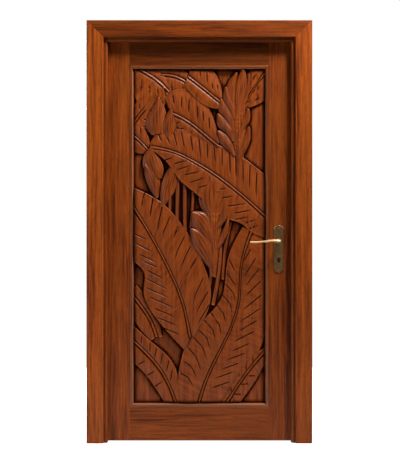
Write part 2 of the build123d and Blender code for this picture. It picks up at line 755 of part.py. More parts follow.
def bract(left, right, heights, index):
    """A rounded petal between two edges, highest along its middle."""
    crest, edge = heights
    line_a, line_b = seam(left), seam(right)
    count = 2 * len(left)
    rows = []
    for i in range(count):
        t = i / (count - 1)
        a, b = line_a.position_at(t), line_b.position_at(t)
        row = []
        for k in range(6):
            s = k / 5
            row.append(between(a, b, s, edge + (crest - edge) * sin(pi * s) ** 0.8))
        rows.append(rooted(row, a, b, index))
    return skin(rows)


def stem(points, half_w, height, index):
    """A round-backed stalk along a line."""
    line = seam(points)
    half = half_w * 2 * (field_half - bead_w) / grid_w
    count = 2 * len(points)
    rows = []
    for i in range(count):
        t = i / (count - 1)
        spot, along = line.position_at(t), line.tangent_at(t)
        across = Vector(along.Z, 0, -along.X) * half
        a, b = spot - across, spot + across
        shares = ((0, 0.6), (0.25, 0.93), (0.5, 1.0), (0.75, 0.93), (1, 0.6))
        rows.append(rooted([between(a, b, s, height * h) for s, h in shares], a, b, index))
    return skin(rows)


def faced_out(solid):
    """The same solid with its faces turned outwards."""
    return solid if solid.volume > 0 else Solid(solid.wrapped.Reversed())


def height_at(form, spot):
    """How high a form stands above the ground at one spot, or nothing where it isn't."""
    sight = Axis((spot.X, front_y - leaf_thick, spot.Z), (0, 1, 0))
    hits = [point.Y for point, normal in form.find_intersection_points(sight)]
    return ground_y - min(hits) if hits else None


def vein_cutter(form, start, end):
    """A V cut that follows a blade's surface and runs out towards the midrib."""
    (x0, z0), (x1, z1) = place(*start), place(*end)
    outer, inner = Vector(x0, 0, z0), Vector(x1, 0, z1)
    heights = height_at(form, outer + (inner - outer) * 0.25), height_at(form, inner)
    if None in heights:
        return None
    run = (inner - outer).normalized()
    side = Vector(run.Z, 0, -run.X) * vein_half_w * (1 + vein_over / vein_depth)
    rows = []
    for spot, height, w, d in (
        (outer - run * vein_lead, heights[0], 1, 1),
        (inner, heights[1], vein_end_w, vein_end_depth),
    ):
        rim_y, root_y = ground_y - height - vein_over, ground_y - height + vein_depth * d
        left, right = spot - side * w, spot + side * w
        rows.append([(left.X, rim_y, left.Z), (spot.X, root_y, spot.Z), (right.X, rim_y, right.Z)])
    facets = [facet(*row) for row in rows]
    for i in range(3):
        j = (i + 1) % 3
        facets.append(facet(rows[0][i], rows[0][j], rows[1][j]))
        facets.append(facet(rows[0][i], rows[1][j], rows[1][i]))
    return faced_out(Solid(Shell(facets)))


def veined_leaf(name, index):
    """A leaf with its vein cuts."""
    form = faced_out(leaf(leaf_forms[name], index))
    cutters = [vein_cutter(form, *cut) for cut in vein_cuts.get(name, [])]
    cutters = [cutter for cutter in cutters if cutter]
    return form.cut(*cutters) if cutters else form


def carved_panel():
    """One board cut back to its ground, with the leaves, bracts and stalks left standing."""
    forms = [veined_leaf(name, i) for i, name in enumerate(leaf_forms)]
    for petals in bract_forms.values():
        for left, right, heights in petals:
            forms.append(bract(left, right, heights, len(forms)))
    for points, half_w, height in stem_forms:
        forms.append(stem(points, half_w, height, len(forms)))
    board = panel_board()
    carved = board.fuse(*[faced_out(form) for form in forms])
    half_w = field_half - bead_w - carving_gap
    low, high = field_low + bead_w + carving_gap, field_top - bead_w - carving_gap
    return carved & (board + block(-half_w, half_w, front_y - leaf_thick, ground_y, low, high))


# Mortise lock: a case with a loose cover, posts inside, and a forend on the leaf's edge
lock_half = case_thick / 2 - case_wall + pocket_play
inner_y0 = -case_thick / 2 + case_wall
inner_y1 = case_thick / 2 - case_wall
latch_half_t = (inner_y1 - inner_y0) / 2 - bolt_slide_gap
bolt_post_x = handle_x + 14.0
bolt_post_r = 2.5
bolt_body_len = 28.0         # full-height part of the bolt behind the forend
bolt_tail_inset = 3.0        # tail narrower than the bolt above and below
bolt_tail_gap = 4.0          # tail to the case's back wall
bolt_nose_set = 0.5          # drawn bolt below the leaf's edge
tail_hole_r = 4.0
guide_x = handle_x + 30.0    # the latch tail's guide in the case
guide_t = 3.0
guide_foot = 8.0
latch_body_len = 14.0
latch_land = 2.0             # flat left on the latch's nose behind the lock's middle
lug_len = 9.0                # lug on the latch tail that the follower draws
lug_foot = 11.0              # its foot above the handle axis
tail_half_h = 3.0
tail_half_t = 2.5
tail_rise = latch_rise + 5.0
spring_post = (case_x0 + 7.0, handle_z + 40.0)
spring_post_r = 2.5
spring_strip = 0.8
spring_play = 0.2
spring_foot = 16.0           # end of the strip above the handle axis
lug_x = handle_x - follower_tip_r - bolt_slide_gap
lug_back = lug_x - lug_len


def keyhole(y0, y1, play):
    """A round hole over a slot, cut from y0 to y1."""
    hole = rod_y(handle_x, y0, y1, key_z, keyhole_r + play)
    half = keyhole_slot_w / 2 + play
    slot_end = key_z - keyhole_slot_h - play
    return hole + block(handle_x - half, handle_x + half, y0, y1, slot_end, key_z)


def lock_case():
    """The open tray of the lock, with the bolt's post, the latch tail's guide and a spring post."""
    half = case_thick / 2
    tray = block(case_x0, case_x1, -half, inner_y1, case_z0, case_z1)
    inner = [case_x0 + case_wall, case_x1, inner_y0, half]
    tray -= block(*inner, case_z0 + case_wall, case_z1 - case_wall)
    tray += rod_y(bolt_post_x, inner_y0, inner_y1, bolt_z, bolt_post_r)
    tray += rod_y(spring_post[0], inner_y0, inner_y1, spring_post[1], spring_post_r)
    tail_z = handle_z + tail_rise
    guide_z = tail_z - guide_foot
    guide = block(guide_x, guide_x + guide_t, inner_y0, inner_y1, guide_z, case_z1 - case_wall)
    gap = bolt_slide_gap
    guide -= block(
        guide_x - 1,
        guide_x + guide_t + 1,
        -tail_half_t - gap,
        tail_half_t + gap,
        tail_z - tail_half_h - gap,
        tail_z + tail_half_h + gap,
    )
    tray += guide
    tray -= rod_y(handle_x, -half - 1, inner_y0 + 1, handle_z, trunnion_r + square_fit)
    return tray - keyhole(-half - 1, inner_y0 + 1, 0)


def lock_cover():
    half = case_thick / 2
    plate = block(case_x0, case_x1, inner_y1, half, case_z0, case_z1)
    plate -= rod_y(handle_x, inner_y1 - 1, half + 1, handle_z, trunnion_r + square_fit)
    return plate - keyhole(inner_y1 - 1, half + 1, 0)


def forend_levels():
    return case_z0 - forend_over, case_z1 + forend_over


def forend():
    low, high = forend_levels()
    half = forend_w / 2
    plate = block(case_x1, leaf_half, -half, half, low, high)
    gap = bolt_slide_gap
    for z, size in ((latch_z, latch_h), (bolt_z, bolt_h)):
        half_t = latch_half_t + gap
        half_h = size / 2 + gap
        plate -= block(case_x1 - 1, leaf_half + 1, -half_t, half_t, z - half_h, z + half_h)
    for z in forend_screw_levels():
        plate -= cone_x(leaf_half, case_x1, 0, z, screw_head_r, screw_shank_r)
    return plate


def forend_screw_levels():
    low, high = forend_levels()
    return low + forend_over / 2, high - forend_over / 2


def square_hole(y0, y1):
    half = square / 2 + square_fit
    return block(handle_x - half, handle_x + half, y0, y1, handle_z - half, handle_z + half)


def follower():
    """The hub that the spindle turns, with the arm that draws the latch."""
    gap = bolt_slide_gap
    half = case_thick / 2
    hub = rod_y(handle_x, inner_y0 + gap, inner_y1 - gap, handle_z, follower_r)
    hub += rod_y(handle_x, -half, half, handle_z, trunnion_r - square_fit)
    tip_z = handle_z + follower_arm_r
    hub += rod_y(handle_x, inner_y0 + gap, inner_y1 - gap, tip_z, follower_tip_r)
    arm_half = follower_tip_r - 0.5
    arm = [handle_x - arm_half, handle_x + arm_half, inner_y0 + gap, inner_y1 - gap]
    hub += block(*arm, handle_z, tip_z)
    return hub - square_hole(-half - 1, half + 1)


def latch_bolt():
    """The sprung latch: bevelled towards the front, with a tail and the lug that is pulled."""
    nose = leaf_half + latch_throw
    heel = case_x1 - latch_body_len
    half_h = latch_h / 2
    head = block(heel, nose, -latch_half_t, latch_half_t, latch_z - half_h, latch_z + half_h)
    cut = [(leaf_half + 1, -latch_half_t - 1), (nose + 1, -latch_half_t - 1), (nose + 1, latch_land)]
    bevel = make_face(Polyline(*[(x, y, latch_z - half_h - 1) for x, y in cut], close=True))
    head -= extrude(bevel, amount=latch_h + 2, dir=(0, 0, 1))
    tail_z = handle_z + tail_rise
    tail_low, tail_high = tail_z - tail_half_h, tail_z + tail_half_h
    head += block(lug_back, heel, -tail_half_t, tail_half_t, tail_low, tail_high)
    return head + block(lug_back, lug_x, -tail_half_t, tail_half_t, handle_z + lug_foot, tail_high)


def latch_spring():
    """A bent strip, hooked on its post and bearing on the latch's lug."""
    x, z = spring_post
    inner_r = spring_post_r + spring_play
    ring = rod_y(x, -tail_half_t, tail_half_t, z, inner_r + spring_strip)
    ring -= rod_y(x, -tail_half_t - 1, tail_half_t + 1, z, inner_r)
    foot_z = handle_z + spring_foot
    top = x + inner_r
    foot = lug_back - spring_strip - spring_play
    points = [(top, z), (top + spring_strip, z), (foot + spring_strip, foot_z), (foot, foot_z)]
    return ring + prism(points, -tail_half_t, tail_half_t)


def deadbolt():
    """The bolt thrown by a key, with a slotted tail that rides on the case's post."""
    nose = leaf_half - bolt_nose_set
    heel = case_x1 - bolt_body_len
    tail_end = case_x0 + case_wall + bolt_tail_gap
    half_h = bolt_h / 2
    bolt = block(heel, nose, -latch_half_t, latch_half_t, bolt_z - half_h, bolt_z + half_h)
    tail_h = half_h - bolt_tail_inset
    bolt += block(tail_end, heel, -tail_half_t, tail_half_t, bolt_z - tail_h, bolt_z + tail_h)
    reach = bolt_post_r + bolt_slide_gap
    half_t = tail_half_t + 1
    slot_x0 = bolt_post_x - bolt_throw
    bolt -= block(slot_x0, bolt_post_x, -half_t, half_t, bolt_z - reach, bolt_z + reach)
    bolt -= rod_y(slot_x0, -half_t, half_t, bolt_z, reach)
    bolt -= rod_y(bolt_post_x, -half_t, half_t, bolt_z, reach)
    return bolt - rod_y(handle_x, -half_t, half_t, bolt_z - tail_h, tail_hole_r)


def lock_mortise():
    play = case_play
    half = case_thick / 2 + play
    pocket = block(case_x0 - play, leaf_half, -half, half, case_z0 - play, case_z1 + play)
    low, high = forend_levels()
    return pocket + block(case_x1, leaf_half + 1, -forend_w / 2, forend_w / 2, low, high)


def lock_stile():
    post = stile(1) - lock_mortise()
    post -= rod_y(handle_x, front_y - 1, back_y + 1, handle_z, neck_r + 2.0)
    post -= keyhole(front_y - 1, back_y + 1, 1.0)
    for z in plate_screw_levels():
        post -= rod_y(handle_x, front_y - 1, back_y + 1, z, plate_screw_r)
    for z in forend_screw_levels():
        post -= rod_x(case_x1 - hinge_screw_len, leaf_half, 0, z, screw_shank_r)
    return post


# Backplates with stepped, arched ends, one on each face
def plate_middle():
    return handle_z - plate_drop


def plate_screw_levels():
    middle = plate_middle()
    offset = plate_h / 2 - plate_shoulder
    return middle - offset, middle + offset


def backplate(face_y, outward):
    """One backplate standing on face_y, with its holes for neck, key and screws."""
    middle = plate_middle()
    half_w, half_h = plate_w / 2, plate_h / 2
    inner_w, shoulder = half_w - plate_notch, half_h - plate_shoulder
    outer_y = face_y + outward * plate_thick
    y0, y1 = min(face_y, outer_y), max(face_y, outer_y)
    plate = block(handle_x - half_w, handle_x + half_w, y0, y1, middle - shoulder, middle + shoulder)
    step = half_h - plate_arch_r * 0.5
    plate += block(handle_x - inner_w, handle_x + inner_w, y0, y1, middle - step, middle + step)
    for end in (-1, 1):
        plate += rod_y(handle_x, y0, y1, middle + end * (half_h - plate_arch_r), plate_arch_r)
    rim = plate.faces().sort_by(Axis.Y)[0 if outward < 0 else -1].outer_wire().edges()
    plate = chamfer(rim, plate_bevel)
    plate -= rod_y(handle_x, y0 - 1, y1 + 1, handle_z, neck_r + neck_fit)
    plate -= keyhole(y0 - 1, y1 + 1, 0)
    for z in plate_screw_levels():
        plate -= cone_y(handle_x, outer_y, face_y, z, plate_screw_head_r, plate_screw_r)
    return plate


def plate_screws():
    """Screws through both backplates: a countersunk head at the front and at the back."""
    for z in plate_screw_levels():
        body = rod_y(handle_x, front_y, back_y, z, plate_screw_r)
        for face_y, outward in ((front_y, -1), (back_y, 1)):
            outer_y = face_y + outward * plate_thick
            body += cone_y(handle_x, outer_y, face_y, z, plate_screw_head_r, plate_screw_r)
            near, far = outer_y - slot_depth, outer_y + slot_depth
            x0, x1 = handle_x - plate_screw_head_r, handle_x + plate_screw_head_r
            body -= block(x0, x1, near, far, z - slot_half_w, z + slot_half_w)
        yield body


# Levers: a collar and neck on the spindle, and a waved, tapering grip
def lever(outward):
    """The handle on the front (outward -1) or the back (1) of the leaf."""
    face_y = outward * (leaf_thick / 2 + plate_thick)
    grip_y = outward * (leaf_thick / 2 + handle_reach - lever_half_t)
    collar_y = face_y + outward * (neck_fit + collar_thick)
    shape = rod_y(handle_x, face_y - outward * plate_thick, grip_y, handle_z, neck_r)
    shape += rod_y(handle_x, face_y + outward * neck_fit, collar_y, handle_z, collar_r)
    shape += grip(grip_y)
    half = leaf_thick / 2
    blind = grip_y - outward * lever_half_t
    hole = square_hole(min(outward * half * 0.5, blind), max(outward * half * 0.5, blind))
    cross = rod_z(handle_x, collar_y + outward * grub_set, handle_z - neck_r - 1, handle_z, grub_r)
    return shape - hole - cross


def grip(grip_y):
    """A lofted bar: its middle line waves, and it thins towards the tip."""
    stations = []
    count = 7
    start = handle_x + neck_r * 0.6
    for i in range(count):
        t = i / (count - 1)
        x = start - t * (start - handle_x + lever_len)
        z = handle_z + lever_wave * sin(2 * pi * t) - lever_drop * t * t
        taper = 1.0 - lever_taper * t
        if i in (0, count - 1):
            taper *= lever_end
        section = Plane(origin=(x, grip_y, z), x_dir=(0, 1, 0), z_dir=(-1, 0, 0))
        stations.append(section * Ellipse(lever_half_t * taper, lever_half_h * taper))
    return loft(stations)


def spindle():
    reach = leaf_thick / 2 + handle_reach - 2 * lever_half_t - 1.0
    half = square / 2
    bar = block(handle_x - half, handle_x + half, -reach, reach, handle_z - half, handle_z + half)
    return chamfer(bar.edges().filter_by(Axis.Y), 0.4)


def grub_screws():
    for outward in (-1, 1):
        y = outward * (leaf_thick / 2 + plate_thick + neck_fit + collar_thick + grub_set)
        low = handle_z - neck_r + 0.5
        yield rod_z(handle_x, y, low, handle_z - square / 2, grub_r)


def build_frame():
    save(hinge_jamb(), "hinge_jamb")
    save(strike_jamb(), "strike_jamb")
    save(head_jamb(), "head_jamb")
    for name, shape in zip(("hinge_stop", "strike_stop", "head_stop"), stops()):
        save(shape, name)
    for side, shape in casings(jamb_front_y, -1, front_reveal).items():
        save(shape, "front_casing_" + side)
    for side, shape in casings(back_y, 1, back_reveal).items():
        save(shape, "back_casing_" + side)
    save(strike_plate(), "strike_plate")
    levels = strike_screw_levels()
    length = hinge_screw_len - strike_thick
    screws = [screw_x(rebate_x, 1, 0, z, strike_thick, length) for z in levels]
    save_group(screws, "strike_screws")


def build_hinges():
    plate = hinge_plate_thick
    for name, z in hinge_levels.items():
        save(hinge_leaf(z, -rebate_x, -rebate_x - plate, 0), "hinge_" + name + "_jamb_leaf")
        save(hinge_leaf(z, -leaf_half, -leaf_half + plate, 1), "hinge_" + name + "_door_leaf")
        save(hinge_pin(z), "hinge_" + name + "_pin")
    save_group(hinge_screws(-rebate_x, -1), "hinge_jamb_screws")
    save_group(hinge_screws(-leaf_half, 1), "hinge_door_screws")


def build_leaf():
    save(hinge_stile(), "hinge_stile")
    save(lock_stile(), "lock_stile")
    save(rail(field_top, leaf_top, 0), "top_rail")
    save(rail(floor_gap, field_low, 1), "bottom_rail")
    for side, shape in bead_frame(front_bead_section()).items():
        save(shape, "front_bead_" + side)
    for side, shape in bead_frame(back_bead_section()).items():
        save(shape, "back_bead_" + side)
    save(carved_panel(), "carved_panel")


def build_lock():
    save(lock_case(), "lock_case")
    save(lock_cover(), "lock_cover")
    save(forend(), "forend")
    levels = forend_screw_levels()
    length = hinge_screw_len - forend_thick
    screws = [screw_x(leaf_half, -1, 0, z, forend_thick, length) for z in levels]
    save_group(screws, "forend_screws")
    save(follower(), "follower")
    save(latch_bolt(), "latch_bolt")
    save(latch_spring(), "latch_spring")
    save(deadbolt(), "deadbolt")
    save(spindle(), "spindle")
    save(lever(-1), "lever_front")
    save(lever(1), "lever_back")
    save_group(grub_screws(), "grub_screws")
    save(backplate(front_y, -1), "backplate_front")
    save(backplate(back_y, 1), "backplate_back")
    save_group(plate_screws(), "plate_screws")


os.makedirs("parts", exist_ok=True)
build_frame()
build_hinges()
build_leaf()
build_lock()
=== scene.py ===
from math import pi, radians

import bmesh
import bpy
import numpy as np
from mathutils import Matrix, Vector


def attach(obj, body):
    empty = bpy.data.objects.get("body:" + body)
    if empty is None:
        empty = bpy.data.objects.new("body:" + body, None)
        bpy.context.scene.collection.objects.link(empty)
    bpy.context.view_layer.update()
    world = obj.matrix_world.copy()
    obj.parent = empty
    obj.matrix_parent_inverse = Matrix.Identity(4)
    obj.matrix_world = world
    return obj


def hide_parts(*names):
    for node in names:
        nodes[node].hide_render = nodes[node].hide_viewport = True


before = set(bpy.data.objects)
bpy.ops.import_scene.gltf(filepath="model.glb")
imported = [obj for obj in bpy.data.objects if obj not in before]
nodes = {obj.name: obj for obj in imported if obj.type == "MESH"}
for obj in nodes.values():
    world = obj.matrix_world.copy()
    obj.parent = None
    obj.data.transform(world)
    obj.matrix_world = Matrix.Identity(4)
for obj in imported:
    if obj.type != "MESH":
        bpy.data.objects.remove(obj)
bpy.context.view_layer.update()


# ---- Jambs, head and stops ----
# The lining of the opening: boards of reddish hardwood, mitred at the top and pinned, with
# stops planted on them for the leaf to close against. Planed, stained and varnished.

def new_group(name, inputs, outputs, kind="ShaderNodeTree"):
    """An empty node group with named inputs and outputs, each a label and a kind of socket."""
    group = bpy.data.node_groups.new(name, kind)
    for way, sockets in (("INPUT", inputs), ("OUTPUT", outputs)):
        for label, socket in sockets.items():
            group.interface.new_socket(label, in_out=way, socket_type="NodeSocket" + socket)
    return group


def feed(tree, node, inputs):
    """Sets inputs by place or name, each to a value or from another node's output."""
    for key, value in inputs.items():
        if isinstance(value, bpy.types.NodeSocket):
            tree.links.new(value, node.inputs[key])
        else:
            node.inputs[key].default_value = value


def add(tree, kind, *inputs, **values):
    """A node of one kind with its first inputs; other values are settings or named inputs."""
    node = tree.nodes.new(kind)
    named = dict(enumerate(inputs))
    for key, value in values.items():
        if hasattr(node, key):
            setattr(node, key, value)
        else:
            named[key.replace("_", " ").title()] = value
    feed(tree, node, named)
    return node


def stretched_noise(tree, vector, stretch, detail, roughness=0.5):
    """Noise with so many features a metre along each axis."""
    drawn = add(tree, "ShaderNodeVectorMath", vector, stretch, operation="MULTIPLY").outputs[0]
    noise = add(tree, "ShaderNodeTexNoise", drawn, scale=1.0, detail=detail, roughness=roughness)
    return noise.outputs["Fac"]


def weighted(tree, *parts):
    """The sum of some values, each times its weight."""
    total = 0.0
    for value, weight in parts:
        step = add(tree, "ShaderNodeMath", value, weight, total, operation="MULTIPLY_ADD")
        total = step.outputs[0]
    return total


def remap(tree, value, low, high, to_low=0.0, to_high=1.0):
    """A value's range from low to high, spread over another and held there."""
    return add(tree, "ShaderNodeMapRange", value, low, high, to_low, to_high).outputs["Result"]


def raised(tree, height, strength, distance):
    """A surface normal from a mask of heights."""
    bump = add(tree, "ShaderNodeBump", strength=strength, distance=distance)
    feed(tree, bump, {"Height": height})
    return bump.outputs[0]


def build_grain():
    """Straight grain along Z: streaks, broad figure and open pores, as three masks."""
    masks = {"Streaks": "Float", "Figure": "Float", "Pores": "Float"}
    group = new_group("straight_grain", {"Vector": "Vector"}, masks)
    start = add(group, "NodeGroupInput").outputs["Vector"]
    drift = add(group, "ShaderNodeTexNoise", start, scale=1.7, detail=2.0).outputs["Color"]
    sway = (0.030, 0.030, 0.0)
    bent = add(group, "ShaderNodeVectorMath", drift, sway, start, operation="MULTIPLY_ADD")
    bent = bent.outputs[0]
    fine = stretched_noise(group, bent, (190.0, 190.0, 6.0), 4.0, 0.6)
    middle = stretched_noise(group, bent, (75.0, 75.0, 3.0), 2.0)
    broad = stretched_noise(group, bent, (17.0, 17.0, 0.9), 1.0)
    pores = stretched_noise(group, bent, (620.0, 620.0, 24.0), 1.0)
    feed(group, add(group, "NodeGroupOutput"), {
        "Streaks": remap(group, weighted(group, (fine, 0.5), (middle, 0.5)), 0.38, 0.62),
        "Figure": remap(group, broad, 0.3, 0.7),
        "Pores": remap(group, pores, 0.60, 0.70),
    })
    return group


grain = build_grain()


def mixed(tree, factor, a, b):
    """Two colours mixed by a mask; each may be a colour or a node's output."""
    a, b = [(*colour, 1.0) if isinstance(colour, tuple) else colour for colour in (a, b)]
    mix = add(tree, "ShaderNodeMix", factor, data_type="RGBA")
    feed(tree, mix, {6: a, 7: b})
    return mix.outputs[2]


def new_material(name):
    """A material, its node tree, its one shader, and the object's own coordinates."""
    material = bpy.data.materials.new(name)
    material.use_nodes = True
    tree = material.node_tree
    tree.nodes.clear()
    shader = add(tree, "ShaderNodeBsdfPrincipled")
    add(tree, "ShaderNodeOutputMaterial", shader.outputs[0])
    place = add(tree, "ShaderNodeTexCoord").outputs["Object"]
    return material, tree, shader, place


red_wood = {
    "dark": (0.085, 0.0120, 0.0012),
    "light": (0.360, 0.0720, 0.0080),
    "warm": (0.400, 0.0980, 0.0120),
    "pore": (0.040, 0.0060, 0.0010),
}


def varnished_wood(name, along, shift, tone=0.68, polish=0.06):
    """Stained hardwood under satin varnish, its grain along x or z; shift picks the board."""
    material, tree, shader, place = new_material(name)
    turn = (0.0, radians(90.0 if along == "x" else 0.0), 0.0)
    board = add(tree, "ShaderNodeMapping", place, shift, turn).outputs[0]
    streaks, figure, pores = add(tree, "ShaderNodeGroup", board, node_tree=grain).outputs
    shade = {key: tuple(tone * c for c in colour) for key, colour in red_wood.items()}
    colour = mixed(tree, streaks, shade["dark"], shade["light"])
    colour = mixed(tree, remap(tree, figure, 0.0, 1.0, 0.0, 0.45), colour, shade["warm"])
    colour = mixed(tree, remap(tree, pores, 0.0, 1.0, 0.0, 0.55), colour, shade["pore"])
    height = weighted(tree, (streaks, 0.4), (pores, -0.6))
    feed(tree, shader, {
        "Base Color": colour,
        "Roughness": remap(tree, streaks, 0.0, 1.0, 0.46, 0.36),
        "Normal": raised(tree, height, 0.5, 0.0003),
        "Specular IOR Level": 0.15,
        "Coat Weight": polish,
        "Coat Roughness": 0.22,
    })
    return material


def finish(material, *names):
    """Gives CAD nodes their material."""
    for name in names:
        for slot in nodes[name].material_slots:
            slot.material = material


finish(varnished_wood("jamb_wood", "z", (0.31, 0.12, 0.0), 0.50), "hinge_jamb", "strike_jamb")
finish(varnished_wood("head_wood", "x", (0.05, 0.72, 0.4), 0.50), "head_jamb", "head_stop")
finish(varnished_wood("stop_wood", "z", (0.77, 0.35, 0.6), 0.70), "hinge_stop", "strike_stop")


# ---- Casings ----
# Flat boards that cover the joint between lining and wall on both faces, mitred at the top
# corners, with a small bead worked on the inner edge. Pinned to the lining's edges.

# Each casing has its own tone; the left ones are toned lighter and the right ones darker as painted
# light and shade against the key lamp on the right, and the head ones darkest.
casing_tones_and_painted_light = {"left": 0.98, "right": 0.80, "head": 0.52}

for face, shift in (("front", 0.0), ("back", 1.9)):
    for side, tone in casing_tones_and_painted_light.items():
        name = face + "_casing_" + side
        along = "x" if side == "head" else "z"
        finish(varnished_wood(name + "_wood", along, (tone, 0.08 + shift, 0.3), tone), name)


# ---- Stiles and rails ----
# The leaf's own frame: two stiles run the full height, and two rails are tenoned between
# them, so their grain runs across. Solid hardwood, glued up and varnished.

# The leaf's boards are toned darker than the casings, partly their own tone and partly painted
# shade of the opening round the leaf; the top rail is toned darkest, partly painted shadow cast by
# the head.
finish(varnished_wood("hinge_stile_wood", "z", (1.31, 0.55, 0.9), 0.74), "hinge_stile")
finish(varnished_wood("lock_stile_wood", "z", (1.74, 0.20, 0.1), 0.60), "lock_stile")
finish(varnished_wood("top_rail_wood", "x", (0.22, 0.91, 1.2), 0.36), "top_rail")
finish(varnished_wood("bottom_rail_wood", "x", (0.64, 0.33, 0.7)), "bottom_rail")


# ---- Beads ----
# Small mouldings, mitred at their corners and pinned round the panel on both faces. They
# hold it loosely, so that it can shrink and swell. Same wood and varnish as the leaf.

# The beads are toned darker like the leaf, partly painted shade of the opening.
bead_upright = varnished_wood("bead_wood", "z", (0.15, 0.66, 0.5), 0.62, 1.0)
bead_cross = varnished_wood("bead_cross_wood", "x", (0.48, 0.27, 0.8), 0.62, 1.0)


def away_from(tree, value, middle):
    """How far a value lies from a middle one."""
    value = add(tree, "ShaderNodeMath", value, middle, operation="SUBTRACT").outputs[0]
    return add(tree, "ShaderNodeMath", value, operation="ABSOLUTE").outputs[0]


def paint_crown_highlight(material, axis, middle, reach):
    """Lightens a bead's colour along its rounded crown, a painted highlight of the moulding's
    sheen.
    """
    tree = material.node_tree
    shader = next(node for node in tree.nodes if node.type == "BSDF_PRINCIPLED")
    place = add(tree, "ShaderNodeTexCoord").outputs["Object"]
    value = add(tree, "ShaderNodeSeparateXYZ", place).outputs[axis]
    value = away_from(tree, away_from(tree, value, middle), reach)
    painted_highlight = remap(tree, value, 0.0004, 0.0022, 0.70, 0.0)
    under = shader.inputs["Base Color"].links[0].from_socket
    feed(tree, shader, {"Base Color": mixed(tree, painted_highlight, under, (0.52, 0.25, 0.14))})


# A lighter band along each bead's crown, painted highlight.
paint_crown_highlight(bead_upright, "X", 0.0, 0.3365)
paint_crown_highlight(bead_cross, "Z", 1.0368, 0.8480)
for face in ("front", "back"):
    finish(bead_upright, face + "_bead_left", face + "_bead_right")
    finish(bead_cross, face + "_bead_top", face + "_bead_bottom")


# ---- Carved panel ----
# One thick board, cut back to a ground and carved with long veined leaves, three flower
# heads of overlapping bracts and their stalks. Painted shade darkens its hollows, cuts and
# grooves, and painted highlight lightens its crests.

# The drawing is squared up in 5 mm squares, counted from the sheet's left and from its top
square = 0.005
middle_column = 199.4
foot_row = 405.0
field_foot = 0.193
ground_y = 0.002
board_back_y = 0.0125
board_half_w = 0.350
board_foot, board_top = 0.175, 1.899
field_half_w, field_top = 0.3315, 1.8805
root_depth = 0.003           # how far a form is rooted in the board
undercut, undercut_share = 0.004, 0.25      # how far walls lean in, at most this share of a width

lowest, highest = 0.0010, 0.0254
full_width = 0.030           # width from which a form has its full profile
rib_w, rib_rise = 0.0036, 0.0045
groove_at, groove_w, groove_depth = 0.0085, 0.0034, 0.0040
rim_in, rim_w, rim_rise = 0.0042, 0.0026, 0.0014
roll_w, roll_drop = 0.0022, 0.0024
cut_w, cut_depth = 0.0024, 0.0065
pleat_w, pleat_rise = 0.0120, 0.0008
rib_side = np.array([0, 0.0020, 0.0038, 0.0060, 0.0085, 0.0110, 0.0145])
edge_side = np.array([0.0090, 0.0062, 0.0042, 0.0026, 0.0012, 0])
vein_rows = np.array([-0.0050, -0.0024, 0, 0.0024, 0.0050])
row_clear, row_least, row_even = 0.0040, 0.0008, 0.0050     # least gaps between rows
line_steps = 200
belly, thin_rib, groove_shade = 0.0035, 0.4, 0.75
cut_fade, cut_end = 0.35, 0.1       # a cut runs out over this share, to this depth

